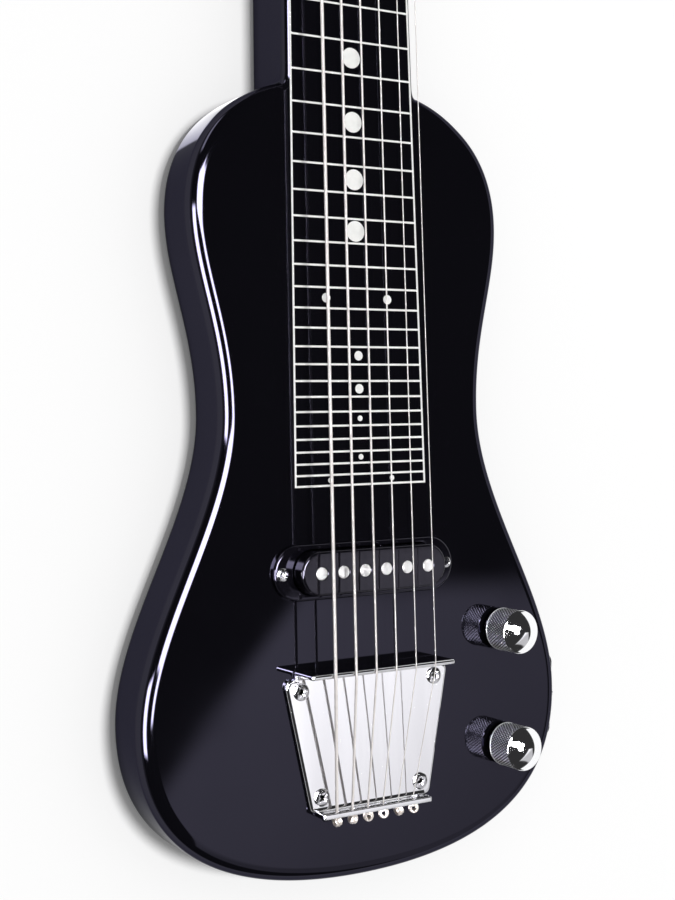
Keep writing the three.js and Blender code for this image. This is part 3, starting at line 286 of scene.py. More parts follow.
def gridFaces(rows, columns, roundRows=False):
    # quads between neighbouring rows and columns; the last column joins the first, and so does
    # the last row where the grid runs round both ways
    row = np.arange(rows if roundRows else rows - 1)[:, None]
    column = np.arange(columns)[None]
    nextRow, nextColumn = (row + 1) % rows, (column + 1) % columns
    corners = [row * columns + column, row * columns + nextColumn,
               nextRow * columns + nextColumn, nextRow * columns + column]
    return np.stack(np.broadcast_arrays(*corners), -1).reshape(-1, 4)


def grid(points, roundRows=False, caps=False):
    # a rows by columns array of points as a shell; caps closes the first and last row
    rows, columns = points.shape[:2]
    faces = gridFaces(rows, columns, roundRows).tolist()
    if caps:
        faces += [list(range(columns))[::-1], list(range((rows - 1) * columns, rows * columns))]
    return points.reshape(-1, 3), faces


def moved(shell, by=(0, 0, 0), turn=None):
    # a shell turned by a matrix and then shifted
    points, faces = shell
    if turn is not None:
        points = points @ turn.T
    return points + np.array(by, float), faces


def spun(profile, angle):
    # radius and level pairs carried round the given angles
    radius, level = np.array(profile, float).T[:, :, None]
    return polar(radius, angle, level)


def turned(profile, sides=48):
    # a profile carried all the way round Z
    return grid(spun(profile, around(sides)))


def peg(radius, low, high, bevel, sides=48):  # a round bar with a bevelled top
    return turned([(0, low), (radius, low), (radius, high - bevel), (radius - bevel, high),
                   (0, high)], sides)


def tube(path, radius, sides):
    # a ring of the radius carried along a path, square to it, each end drawn to a point
    path = np.asarray(path, float)
    forward = unit(np.gradient(path, axis=0))
    side = unit(np.cross(forward, (0, 0, 1)))
    over = np.cross(side, forward)
    angle = around(sides)[:, None]
    ring = np.cos(angle) * side[:, None] + np.sin(angle) * over[:, None]
    ends = [np.repeat(path[i][None, None], sides, 1) for i in (0, -1)]
    return grid(np.concatenate([ends[0], path[:, None] + radius * ring, ends[1]]))


def easedPath(corners, reach, steps=7):
    # straight runs joined by quadratic bends that leave and meet the runs at a given reach
    corners = np.asarray(corners, float)
    before, here, after = corners[:-2], corners[1:-1], corners[2:]
    t = np.linspace(0, 1, steps)[None, :, None]
    start = (here + unit(before - here) * reach)[:, None]
    end = (here + unit(after - here) * reach)[:, None]
    bends = (1 - t) ** 2 * start + 2 * t * (1 - t) * here[:, None] + t ** 2 * end
    return np.concatenate([corners[:1], bends.reshape(-1, 3), corners[-1:]])


def helix(radius, start, sweep, low, high, steps):
    # a turning line of a given radius that climbs evenly
    angle = start + np.linspace(0, sweep, steps)
    return polar(radius, angle, np.linspace(low, high, steps))


def bezier(steps, *points):  # de Casteljau's rule on a row of even shares
    t = np.linspace(0, 1, steps)[:, None]
    points = [np.array(p, float)[None] for p in points]
    while len(points) > 1:
        points = [a * (1 - t) + b * t for a, b in zip(points, points[1:])]
    return points[0]


def loopWays(loop):
    # the direction of arrival at each point of a closed loop, and the mean of arrival and leaving
    arriving = unit(loop - np.roll(loop, 1, 0))
    return arriving, unit(arriving + np.roll(arriving, -1, 0))


def outward(loop):
    # square to the mean direction at each point, facing out of the loop
    along = loopWays(loop)[1]
    return np.stack([along[:, 1], -along[:, 0]], -1)


def inset(loop, distance):
    # each point of a closed loop moved inwards, square to the loop
    arriving, along = loopWays(loop)
    return loop - outward(loop) * (distance / (arriving * along).sum(1))[:, None]


def circle(x, y, radius, sides=32):
    # even angles round a middle
    return polar(radius, around(sides), 0)[:, :2] + (x, y)


def stadium(halfLength, halfWidth, y, steps=28):
    # two half circles joined by straight sides, from the lower right round to the left
    angle = np.linspace(-quarter, quarter, steps)
    right = polar(halfWidth, angle, 0)[:, :2] + (halfLength - halfWidth, 0)
    return np.concatenate([right, -right]) + (0, y)


def roundedBox(x0, y0, x1, y1, radius, steps=8):
    # a rectangle with quarter circles for corners
    arc = polar(radius, np.linspace(0, quarter, steps), 0)[:, :2]
    back = arc[::-1]
    return np.concatenate([
        (x1 - radius, y1 - radius) + arc,
        (x0 + radius, y1 - radius) + back * (-1, 1),
        (x0 + radius, y0 + radius) + arc * (-1, -1),
        (x1 - radius, y0 + radius) + back * (1, -1),
    ])


def inside(points, loop):
    # counts the edges of a loop that a ray from each point crosses
    a, b = loop[None], np.roll(loop, -1, 0)[None]
    x, y = points[:, 0, None], points[:, 1, None]
    rise = np.where(b[..., 1] == a[..., 1], 1, b[..., 1] - a[..., 1])
    crosses = (a[..., 1] > y) != (b[..., 1] > y)
    meets = a[..., 0] + (y - a[..., 1]) * (b[..., 0] - a[..., 0]) / rise
    return (crosses & (x < meets)).sum(1) % 2 == 1


def filled(outer, holes=(), lines=()):
    # triangles that fill an outline but not its holes, numbered along the outline, then the holes
    loops = [outer, *holes]
    points = np.concatenate(loops)
    edges, start = [], 0
    for loop in loops:
        here = start + np.arange(len(loop))
        edges.append(np.stack([here, np.roll(here, -1)], -1))
        start += len(loop)
    edges = np.concatenate(edges + [np.array(lines, int).reshape(-1, 2)])
    found = delaunay_2d_cdt([Vector(p) for p in points.tolist()], edges.tolist(), [], 1, 1e-7)
    source = np.array([ids[0] if ids else -1 for ids in found[3]])
    faces = source[np.array(found[2])]
    faces = faces[(faces >= 0).all(1)]
    middle = points[faces].mean(1)
    keep = inside(middle, outer)
    for hole in holes:
        keep &= ~inside(middle, hole)
    faces = faces[keep]
    a, b, c = (points[faces[:, i]] for i in range(3))
    ab, ac = b - a, c - a
    area = ab[:, 0] * ac[:, 1] - ab[:, 1] * ac[:, 0]
    faces[area < 0] = faces[area < 0][:, ::-1]
    return faces[area != 0]


def levelled(loop, level):
    # a flat loop lifted to one level
    return np.concatenate([loop, np.full((len(loop), 1), level)], 1)


def rounded(radius, high, steps):
    # inset and level pairs up a quarter circle that ends at the given height
    angle = np.linspace(0, quarter, steps + 1)
    return np.stack([radius * (1 - np.cos(angle)), high - radius * (1 - np.sin(angle))], -1)


def rounding(low, high, radius, steps):
    # inset and level pairs up one side of a plate whose two edges are rounded
    rise = rounded(radius, high, steps)
    return np.concatenate([(rise * (1, -1) + (0, low + high))[::-1], rise])


def plate(outline, profile, holes=(), holeProfiles=None):
    # an outline carried up its inset and level pairs; its holes grow where the outline shrinks
    holeProfiles = holeProfiles or [profile * (-1, 1)] * len(holes)
    shells = [(outline, profile), *zip(holes, holeProfiles)]
    walls = [[levelled(inset(loop, step), level) for step, level in rows] for loop, rows in shells]
    points, faces, start, ends = [], [], 0, []
    for (loop, rows), wall in zip(shells, walls):
        points.append(np.concatenate(wall))
        faces += (gridFaces(len(rows), len(loop)) + start).tolist()
        first = start + np.arange(len(loop))
        ends.append((first, first + (len(rows) - 1) * len(loop)))
        start += len(rows) * len(loop)
    for side in (0, -1):
        loops = [wall[side][:, :2] for wall in walls]
        index = np.concatenate([end[side] for end in ends])
        faces += index[filled(loops[0], loops[1:])].tolist()
    return np.concatenate(points), faces


def prism(section, halfLength):
    # a closed section in Y and Z carried along X
    ends = [np.insert(section, 0, x, 1) for x in (-halfLength, halfLength)]
    return grid(np.stack(ends), caps=True)


def addPiece(name, shells, finish, body="guitar", stands=(), crease=38):
    # shells of points become one mesh: doubles merged, faces outwards, edges past crease sharp
    whole = bmesh.new()
    for points, faces in shells:
        data = bpy.data.meshes.new("shell")
        data.from_pydata((np.asarray(points) * mm).tolist(), [], faces)
        shell = bmesh.new()
        shell.from_mesh(data)
        bmesh.ops.remove_doubles(shell, verts=shell.verts, dist=2e-7)
        bmesh.ops.recalc_face_normals(shell, faces=shell.faces)
        shell.to_mesh(data)
        shell.free()
        whole.from_mesh(data)
        bpy.data.meshes.remove(data)
    mesh = bpy.data.meshes.new(name)
    whole.to_mesh(mesh)
    whole.free()
    mesh.shade_smooth()
    mesh.set_sharp_from_angle(angle=math.radians(crease))
    piece = placePiece(name, mesh, finish, body, stands)
    flats = piece.modifiers.new("flats", "WEIGHTED_NORMAL")  # flat faces keep their own direction
    flats.keep_sharp = True
    return piece


def placePiece(name, mesh, finish, body="guitar", stands=()):
    # a mesh with its finish and slot rides its body, in place of the solids it stands for
    piece = bpy.data.objects.new(name, mesh)
    bpy.context.scene.collection.objects.link(piece)
    mesh.materials.append(made[finish])
    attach(piece, body)
    if stands:
        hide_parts(*stands)
    return piece


# The body, from the same curves as the solid

body = dict(
    top=30.0, edge=6.2, neckEdge=3.0, blend=12.0, tail=83.7, bout=(98.1, -17.6),
    waist=(61.8, 101.0), chest=(74.4, 181.5), shoulder=234.0, step=2.2, fillet=6.0,
    handles=dict(tail=0.513, boutBelow=0.79, boutAbove=0.321, waistBelow=0.34, waistAbove=0.42,
                 chestBelow=0.316, chestAbove=0.513, shoulderRun=0.635, shoulderDrop=0.14),
)
board = dict(scale=571.5, lastFret=571.5 / 8, nutHalf=25.3, lastHalf=30.7, margin=2.3)
head = dict(start=579.5, length=148.0, drop=3.5, thickness=14.0, flare=30.0, half=38.0, tip=33.0,
            crown=6.0, corner=12.0, ramp=20.0, stepRun=1.4)
posts = dict(x=22.0, first=613.5, pitch=35.0, rise=17.0, radius=3.0, waist=2.35, windTop=12.3,
             turns=2.3)
openings = dict(pickup=(35.0, 9.9, 37.8), pickupFloor=17.0, pots=((67.0, 7.8), (67.0, -40.1)),
                potRadius=3.95, postRadius=3.4, recess=(47.5, -53.5, 84.5, 22.5, 12),
                recessRoof=2.4, cavity=(52, -49, 80, 18, 10), cavityRoof=25.0)
headTop = body["top"] - head["drop"]
headBack = headTop - head["thickness"]


def neckHalf(y):  # half-width of the neck: the printed board's even taper and a margin
    share = (y - board["lastFret"]) / (board["scale"] - board["lastFret"])
    return board["lastHalf"] + share * (board["nutHalf"] - board["lastHalf"]) + board["margin"]


def bodyHalf():
    # the treble half of the outline, and the distances at which the headstock's levels change
    h = body["handles"]
    bout, waist, chest = (np.array(body[key]) for key in ("bout", "waist", "chest"))
    tailY, shoulderY = -body["tail"], body["shoulder"]
    neckX, filletY = neckHalf(shoulderY), shoulderY + body["fillet"]
    shoulderX = neckX + body["step"]
    flank, flow, climb = waist[1] - bout[1], chest[1] - waist[1], shoulderY - chest[1]
    start, end, flare = head["start"], head["start"] + head["length"], head["flare"]
    tip, corner, crownY = head["tip"], head["corner"], end + head["crown"]
    t = np.linspace(0, 1, 400)
    advance = 1.5 * t * (1 - t) + t ** 3
    rampY = start + head["ramp"] * advance
    topRows = start + np.linspace(-0.5, 0.5, 9) * head["stepRun"]
    backRows = np.interp(np.linspace(0, 1, 17), t, rampY)
    neckRows = np.unique([*np.linspace(filletY, start, 60), *topRows[topRows < start]])
    flareY = np.unique(np.round([*topRows[topRows > start], *backRows[1:],
                                 *np.linspace(start, start + flare, 14)[1:]], 6))
    flareShare = eased(np.interp(flareY - start, flare * advance, t))
    flareX = neckHalf(start) + (head["half"] - neckHalf(start)) * flareShare
    half = np.concatenate([
        bezier(72, (0, tailY), (h["tail"] * bout[0], tailY),
               bout - (0, h["boutBelow"] * (bout[1] - tailY)), bout),
        bezier(64, bout, bout + (0, h["boutAbove"] * flank),
               waist - (0, h["waistBelow"] * flank), waist),
        bezier(48, waist, waist + (0, h["waistAbove"] * flow),
               chest - (0, h["chestBelow"] * flow), chest),
        bezier(56, chest, chest + (0, h["chestAbove"] * climb),
               (shoulderX + h["shoulderRun"] * (chest[0] - shoulderX),
                shoulderY - h["shoulderDrop"] * climb), (shoulderX, shoulderY)),
        bezier(16, (shoulderX, shoulderY), (neckX, shoulderY), (neckHalf(filletY), filletY)),
        np.stack([neckHalf(neckRows), neckRows], -1),
        np.stack([flareX, flareY], -1),
        bezier(12, (head["half"], start + flare), (tip, end - corner)),
        bezier(18, (tip, end - corner), (tip, end), (tip - corner, end)),
        bezier(16, (tip - corner, end), ((tip - corner) / 2, crownY), (0, crownY)),
    ])
    apart = np.linalg.norm(np.diff(half, axis=0), axis=1) > 1e-4
    return half[[True, *apart]], topRows, backRows, (rampY, headBack * eased(t))


halfLine, topRows, backRows, ramp = bodyHalf()
outline = np.concatenate([halfLine, halfLine[1:-1][::-1] * (-1, 1)])


def topLevel(y):
    # the top steps down to the headstock on an eased curve
    return body["top"] - head["drop"] * eased((y - topRows[0]) / (topRows[-1] - topRows[0]))


def backLevel(y):
    # the back climbs its ramp to the headstock
    return np.interp(y, *ramp)


def slopeNormal(level, y, up):
    # upright normal leaned by the slope of the level along Y
    slope = (level(y + 0.01) - level(y - 0.01)) / 0.02
    return unit(np.stack([0 * y, -slope, 1 + 0 * y], -1)) * up


def bodyShell():
    # the outline carried up a quarter circle at each edge, flat faces with openings between, each
    # point with the true direction of its surface so that the lacquer mirrors without ripples
    across, y = outward(outline), outline[:, 1]
    share = eased((y - (body["shoulder"] - body["blend"])) / (body["blend"] + body["fillet"]))
    radius = body["edge"] + share * (body["neckEdge"] - body["edge"])
    angle = np.linspace(0, quarter, 13)
    parts = []

    def ring(a, up):
        # one row of a rounded edge: its points and their directions
        drop = radius * (1 - math.sin(a))
        flat = outline - across * (radius * (1 - math.cos(a)))[:, None]
        level = topLevel(y) - drop if up > 0 else backLevel(y) + drop
        lean = levelled(across * math.cos(a), math.sin(a) * up)
        return np.column_stack([flat, level]), unit(lean)

    def upright(loop, up):
        # the same direction for every point
        return np.tile([0.0, 0.0, up], (len(loop), 1))

    def opening(loop, high, low):  # wall of a hole, facing its middle
        wall = np.concatenate([levelled(loop, high), levelled(loop, low)])
        lean = levelled(-outward(loop), 0)
        parts.append((wall, np.concatenate([lean, lean]), gridFaces(2, len(loop))))

    def face(points, normals, faces, up):
        # triangles turned over where they face down
        parts.append((np.concatenate(points), np.concatenate(normals),
                      faces if up > 0 else faces[:, ::-1]))

    def floor(loops, level, up):
        # a level face between an outline and its holes
        face([levelled(loop, level) for loop in loops], [upright(loop, up) for loop in loops],
             filled(loops[0], loops[1:]), up)

    def cap(edge, holes, rows, level, up):
        # the edge row filled, with lines across wherever the level bends
        marks = [i for i in range(1, len(halfLine) - 1)
                 if np.abs(halfLine[i, 1] - rows).min() < 1e-5]
        face([edge] + [levelled(*hole) for hole in holes],
             [slopeNormal(level, y, up)] + [upright(hole, up) for hole, _ in holes],
             filled(edge[:, :2], [hole for hole, _ in holes],
                    [(i, len(outline) - i) for i in marks]), up)

    rings = [ring(a, -1) for a in angle[::-1]] + [ring(a, 1) for a in angle]
    points, normals = (np.concatenate(rows) for rows in zip(*rings))
    parts.append((points, normals, gridFaces(len(rings), len(outline))))
    top, roof, recessRoof = body["top"], openings["cavityRoof"], openings["recessRoof"]
    pickupHole = stadium(*openings["pickup"])
    potHoles = [circle(*place, openings["potRadius"]) for place in openings["pots"]]
    postHoles = [circle(x, posts["first"] + posts["pitch"] * n, openings["postRadius"])
                 for x in (-posts["x"], posts["x"]) for n in range(3)]
    recess, cavity = (roundedBox(*openings[key]) for key in ("recess", "cavity"))
    cap(rings[-1][0], [(pickupHole, top), *((hole, top) for hole in potHoles),
                       *((hole, headTop) for hole in postHoles)], topRows, topLevel, 1.0)
    cap(rings[0][0], [(recess, 0.0), *((hole, headBack) for hole in postHoles)], backRows,
        backLevel, -1.0)
    opening(pickupHole, top, openings["pickupFloor"])
    floor([pickupHole], openings["pickupFloor"], 1.0)
    opening(recess, recessRoof, 0.0)
    floor([recess, cavity], recessRoof, -1.0)
    opening(cavity, roof, recessRoof)
    floor([cavity, *potHoles], roof, -1.0)
    for hole in potHoles:
        opening(hole, top, roof)
    for hole in postHoles:
        opening(hole, headTop, headBack)
    return parts


def exactMesh(name, parts):
    # parts joined at shared points, each face corner keeping the direction its own part gave it
    points = np.concatenate([p for p, _, _ in parts])
    normals = np.concatenate([n for _, n, _ in parts])
    starts = np.cumsum([0] + [len(p) for p, _, _ in parts[:-1]])
    faces = [corner for start, (_, _, f) in zip(starts, parts) for corner in (f + start).tolist()]
    _, first, joined = np.unique(np.round(points / 2e-4).astype(np.int64), axis=0,
                                 return_index=True, return_inverse=True)
    joined = joined.reshape(-1)
    mesh = bpy.data.meshes.new(name)
    mesh.from_pydata((points[first] * mm).tolist(), [], [joined[f].tolist() for f in faces])
    mesh.shade_smooth()
    mesh.normals_split_custom_set(normals[np.concatenate(faces)].tolist())
    return mesh


placePiece("lacquered_body", exactMesh("lacquered_body", bodyShell()), "bodyLacquer",
           stands=["body"])
print("body", len(outline), "points round")


# Printed position dots between the lines

dots = dict(level=30.15, thickness=0.15, bevel=0.05, pairHalf=14.7,
            single={3: 8.65, 5: 8.65, 7: 8.65, 9: 8.65, 15: 8.65, 17: 8.65, 19: 8.65, 21: 8.65,
                    27: 3.9, 29: 3.9, 31: 2.3, 34: 2.3},
            double={12: 6.0, 24: 3.9, 36: 2.2})


def cellMiddle(cell):
    # halfway between two lines, the nth at scale times 2 to the -n/12
    fret = lambda n: board["scale"] * 2 ** (-n / 12)
    return (fret(cell) + fret(cell - 1)) / 2


def dotShell(x, y, diameter):
    # a thin bevelled disc of ink
    high = dots["level"]
    return moved(peg(diameter / 2, high - dots["thickness"], high, dots["bevel"]), (x, y, 0))


dotShells = [dotShell(0, cellMiddle(cell), size) for cell, size in dots["single"].items()]
dotShells += [dotShell(side * dots["pairHalf"], cellMiddle(cell), size)
              for cell, size in dots["double"].items() for side in (-1, 1)]
addPiece("position_dots", dotShells, "linePrint")
print("dots", len(dotShells))


# Strings, with their ball ends and their turns round the posts

strings = dict(diameters=[1.32, 1.07, 0.81, 0.61, 0.46, 0.38], saddle=47.0, nut=42.9, anchor=35.8,
               saddleTop=44.9, nutTop=45.0, anchorLevel=34.5, anchorRun=(-57.3, -54.6),
               saddleRun=(-2.2, -0.2), nutRun=0.6, nutLift=0.6, postRun=3.5, bend=0.7,
               coilPitch=1.03, knot=(-56.4, -57.1), knotExtra=0.25)
ball = dict(radius=1.9, hole=0.95, length=2.9, bevel=0.35, waist=0.25, y=-58.8, loop=0.35, tip=28,
            lying=[True, True, False, False, True, False], lean=[12, -18, 20, -8, 25, 6])
sixShares = np.arange(6) / 5 - 0.5  # six places spread evenly over one unit


def postPlace(n):
    # bass posts run away from the nut, treble posts back to it
    place = n if n < 3 else 5 - n
    return (-1 if n < 3 else 1) * posts["x"], posts["first"] + posts["pitch"] * place


def stringShells(n):
    # straight runs from the anchor over saddle and nut to the post, then turns round its waist
    diameter, side = strings["diameters"][n], -1 if n < 3 else 1
    radius, level = diameter / 2, strings["anchorLevel"]
    postX, postY = postPlace(n)
    wind = posts["waist"] + radius
    high = headTop + posts["windTop"] - radius
    anchorX, saddleX, nutX = (sixShares[n] * strings[key] for key in ("anchor", "saddle", "nut"))
    run = easedPath([
        *((anchorX, y, level) for y in strings["anchorRun"]),
        *((saddleX, y, strings["saddleTop"] + radius) for y in strings["saddleRun"]),
        (nutX, board["scale"] + strings["nutRun"], strings["nutTop"] + radius * strings["nutLift"]),
        *((postX - side * wind, y, high) for y in (postY - strings["postRun"], postY)),
    ], strings["bend"])
    low = high - posts["turns"] * diameter * strings["coilPitch"]
    sweep = -side * fullTurn * posts["turns"]
    turns = helix(wind, 0 if side < 0 else math.pi, sweep, high, low, 90)
    turns += (postX, postY, 0)
    inward = turns[-1:] * 0.35 + np.array([[postX, postY, low]]) * 0.65
    knot = np.linspace(*((anchorX, y, level) for y in strings["knot"]), 4)
    return [tube(np.concatenate([run[:-1], turns, inward]), radius, 14 if n < 3 else 10),
            tube(knot, radius + strings["knotExtra"], 12)]


def ballShells(n):
    # a small turned barrel with a hole and a loop of wire round it, lying or standing
    r, half, hole, bevel = ball["radius"], ball["length"] / 2, ball["hole"], ball["bevel"]
    barrel = turned([(hole, -half), (r - bevel, -half), (r, -half + bevel), (r - ball["waist"], 0),
                     (r, half - bevel), (r - bevel, half), (hole, half), (hole, -half)], 28)
    loop = tube(helix(r - 0.1, 0, fullTurn, 0, 0, 40), ball["loop"], 8)
    tip = math.radians(ball["tip"])
    standing = [[math.cos(tip), 0, -math.sin(tip)], [0, 1, 0], [math.sin(tip), 0, math.cos(tip)]]
    turn = aboutZ(math.radians(ball["lean"][n])) @ (alongX if ball["lying"][n] else standing)
    place = (sixShares[n] * strings["anchor"], ball["y"], strings["anchorLevel"])
    return [moved(part, place, turn) for part in (barrel, loop)]


for n in range(6):
    addPiece(f"string_{n + 1}_wire", stringShells(n), "woundString" if n < 3 else "plainString",
             stands=[f"string_{n + 1}"])
    addPiece(f"string_{n + 1}_ball_end", ballShells(n), "brassEnds")
print("strings 6")


# Nut: a tall bar with an eased top and a groove for each string

nut = dict(y=571.5, thickness=5.0, height=15.0, half=26.7, ease=0.35, back=2.4, reach=3.0,
           grooveWidth=0.55, grooveDepth=(0.8, 0.1))


def nutShell():
    # a section in Y and Z carried along X, its top sinking at each string by a bell curve
    y0, low = nut["y"], body["top"]
    y1, top, ease = y0 + nut["thickness"], low + nut["height"], nut["ease"]
    crown = bezier(9, (y1, top - nut["back"]), (y1, top - nut["back"] / 2), (y0 + ease, top),
                   (y0 + ease, top))
    front = bezier(5, (y0 + ease, top), (y0, top), (y0, top - ease))
    foot = [(y0, low), ((y0 + y1) / 2, low), (y1, low)]
    y, z = np.concatenate([foot, crown, front[1:]]).T
    x = np.linspace(-nut["half"], nut["half"], 321)[:, None]
    width = np.array(strings["diameters"]) * nut["grooveWidth"]
    share, least = nut["grooveDepth"]
    bell = np.exp(-((x - sixShares * strings["nut"]) / width) ** 4)
    dip = (bell * (width * share + least)).max(1)[:, None]
    sink = np.clip((z - (top - nut["reach"])) / nut["reach"], 0, 1)
    return grid(np.stack(np.broadcast_arrays(x, y, z - dip * sink), -1), caps=True)


addPiece("nut_bar", [nutShell()], "polishedChrome", stands=["nut"], crease=50)


# Pickup

pickup = dict(y=37.8, ring=(42.3, 11.1), ringTop=32.4, ringEdge=1.3, window=(34.1, 9.0),
              windowEdge=0.35, cover=(33.8, 8.7), coverLow=26.0, coverTop=39.7, coverEdge=1.1,
              lean=0.026, poleRadius=2.5, poleSpread=50.0, poleLow=21.5, poleBevel=0.3,
              poleGap=0.12, holeBevel=0.15)
poleX = sixShares * pickup["poleSpread"]


def ringShell():
    # a section carried round the pickup, from the outer stadium over the top to the window
    outer, window = (stadium(*pickup[key], pickup["y"], 40) for key in ("ring", "window"))
    top, foot = pickup["ringTop"], (0.0, body["top"])
    outerRows = [foot, *rounded(pickup["ringEdge"], top, 6)]
    innerRows = [*rounded(pickup["windowEdge"], top, 6)[::-2], foot]
    rows = [levelled(inset(outer, step), level) for step, level in outerRows]
    rows += [levelled(inset(window, -step), level) for step, level in innerRows]
    return grid(np.stack(rows), roundRows=True)


def coverShell():
    # the outline carried up and rounded over, with six pole holes, sheared about its middle line
    low, top, edge = pickup["coverLow"], pickup["coverTop"], pickup["coverEdge"]
    outer = stadium(*pickup["cover"], pickup["y"], 40)
    profile = np.array([(0.0, low + edge), *rounded(edge, top, 7)])
    holes = [circle(x, pickup["y"], pickup["poleRadius"] + pickup["poleGap"], 36) for x in poleX]
    bevel = pickup["holeBevel"]
    holeProfile = np.array([(0, low), (0, top - bevel), (-bevel, top)])
    points, faces = plate(outer, profile, holes, [holeProfile] * 6)
    points[:, 2] += (points[:, 1] - pickup["y"]) * pickup["lean"]
    return points, faces


addPiece("pickup_ring_moulding", [ringShell()], "blackPlastic",
         stands=["pickup_ring"])
addPiece("pickup_cover_moulding", [coverShell()], "satinPlastic",
         stands=["pickup_cover"])
pole = peg(*(pickup[key] for key in ("poleRadius", "poleLow", "coverTop", "poleBevel")), 40)
for n, x in enumerate(poleX):
    addPiece(f"pole_piece_{n + 1}", [moved(pole, (x, pickup["y"], 0))], "poleSteel",
             stands=[f"pickup_pole_{n + 1}"])
print("pickup")


# Cross-head screws: head radius, head height, shank radius and length of each kind

screwSizes = dict(bridge=(3.4, 0.8, 1.5, 13.8), ring=(2.6, 1.2, 1.1, 9.8),
                  jack=(2.7, 1.4, 1.1, 9.8), cover=(2.7, 1.4, 1.1, 8.6),
                  strip=(1.9, 0.9, 0.8, 8.0))


crossShares = dict(long=0.56, wide=0.13, soft=0.06, deep=0.3)  # of the head's radius


def screwShells(kind, spin, place, turn=None):
    # a domed head on a polar grid, sunk where two crossed bars lie, over a blunt shank
    radius, height, shank, length = screwSizes[kind]
    r, angle = np.linspace(0, 1, 30)[:, None] * radius, around(84)
    x, y = r * np.cos(angle), r * np.sin(angle)
    long, wide, soft, deep = (radius * share for share in crossShares.values())
    fade = lambda room: np.clip(room / soft, 0, 1)
    bar = lambda u, v: fade(long - abs(u)) * fade(wide + soft - abs(v))
    dome = 0.4 * height + 0.6 * height * np.sqrt(np.clip(1 - (r / radius) ** 2.4, 0, 1))
    z = dome - np.maximum(bar(x, y), bar(y, x)) * deep * (1.1 - r / radius)
    rows = [polar(r, angle + spin, z), spun([(radius, 0), (0, 0)], angle + spin)]
    shaft = turned([(0, 0), (shank, 0), (shank, -length + shank), (0, -length)], 20)
    return [moved(shell, place, turn) for shell in (grid(np.concatenate(rows)), shaft)]


def addScrew(name, stands, *lie):
    # lie holds the kind, the spin, the place and the turn
    addPiece(name, screwShells(*lie), "screwChrome", stands=[stands])


bridge = dict(length=56.9, sheet=2.0, front=39.3, rear=27.4, frontSetback=3.2, rearSetback=1.8,
              frontCorner=4.0, rearCorner=2.2, edge=1.2, foot=0.15, saddleHalf=33.4,
              saddleTop=44.9, anchorHalf=25.3, anchorTop=37.4, anchorFace=-54.9, holeRadius=1.1,
              fillet=1.6, seam=0.3, seamInset=0.35, screwLevel=32.05,
              screws=[(-31.3, -8.0, 0.35), (31.3, -8.0, 1.1), (-23.1, -49.5, 0.8),
                      (23.1, -49.5, 0.2)])


def bridgeShells():
    # a flat plate with two tabs, two upright lips, and a hollow quarter round at each fold
    low, sheet, seam, back = body["top"], bridge["sheet"], bridge["seam"], bridge["anchorFace"]
    rear, front = -bridge["length"] + bridge["rearSetback"], -bridge["frontSetback"]
    slope = (bridge["front"] - bridge["rear"]) / bridge["length"]
    wide = lambda y: bridge["front"] + slope * y
    fc, rc, top = bridge["frontCorner"], bridge["rearCorner"], low + sheet
    s, a, f, foot = (bridge[key] for key in ("saddleHalf", "anchorHalf", "fillet", "foot"))
    right = np.concatenate([
        [(a, -56.0), (a, rear)],
        bezier(9, (wide(rear) - rc, rear), (wide(rear), rear), (wide(rear + rc), rear + rc)),
        bezier(9, (wide(front - fc), front - fc), (wide(front), front), (wide(front) - fc, front)),
        [(s, front), (s, -1.0)],
    ])
    edge = np.array([(foot, low), (0.0, low + foot), *rounded(bridge["edge"], top, 8)])
    flat = plate(np.concatenate([right, right[::-1] * (-1, 1)]), edge)
    saddle = plate(roundedBox(-s, low, s, bridge["saddleTop"], 1.0), rounding(0, sheet, 0.9, 8))
    holes = [circle(x, strings["anchorLevel"], bridge["holeRadius"], 24)
             for x in sixShares * strings["anchor"]]
    anchor = plate(roundedBox(-a, low, a, bridge["anchorTop"], 0.9, 6),
                   rounding(0, sheet, 0.4, 4), holes)
    upright = lambda shell, y: (shell[0][:, [0, 2, 1]] * (1, -1, 1) + (0, y, 0), shell[1])
    corner = np.concatenate([rounded(f, f, 8)[:, ::-1] - (f, 0),
                             [(seam, f), (seam, -seam), (-f, -seam)]])
    folds = [prism(corner * (way, 1) + (y, top), half - bridge["seamInset"])
             for way, y, half in ((1, -sheet, s), (-1, back, a))]
    return [flat, upright(saddle, 0.0), upright(anchor, back), *folds]


addPiece("folded_bridge_plate", bridgeShells(), "polishedChrome",
         stands=["bridge_plate"], crease=30)
for n, (x, y, spin) in enumerate(bridge["screws"]):
    addScrew(f"bridge_wood_screw_{n + 1}", f"bridge_screw_{n + 1}", "bridge", spin,
             (x, y, bridge["screwLevel"]))
for n, (x, spin, level) in enumerate([(-38.9, 0.5, 32.45), (38.9, 1.2, 31.5)]):
    addScrew(f"ring_wood_screw_{n + 1}", f"pickup_screw_{n + 1}", "ring", spin,
             (x, pickup["y"], level))
print("bridge")


# Knobs

knob = dict(radius=8.9, low=32.0, rim=45.2, rise=3.6, bevel=0.4, starts=48, pitch=2.0, depth=0.36,
            spins=dict(volume=0.0, tone=0.4))


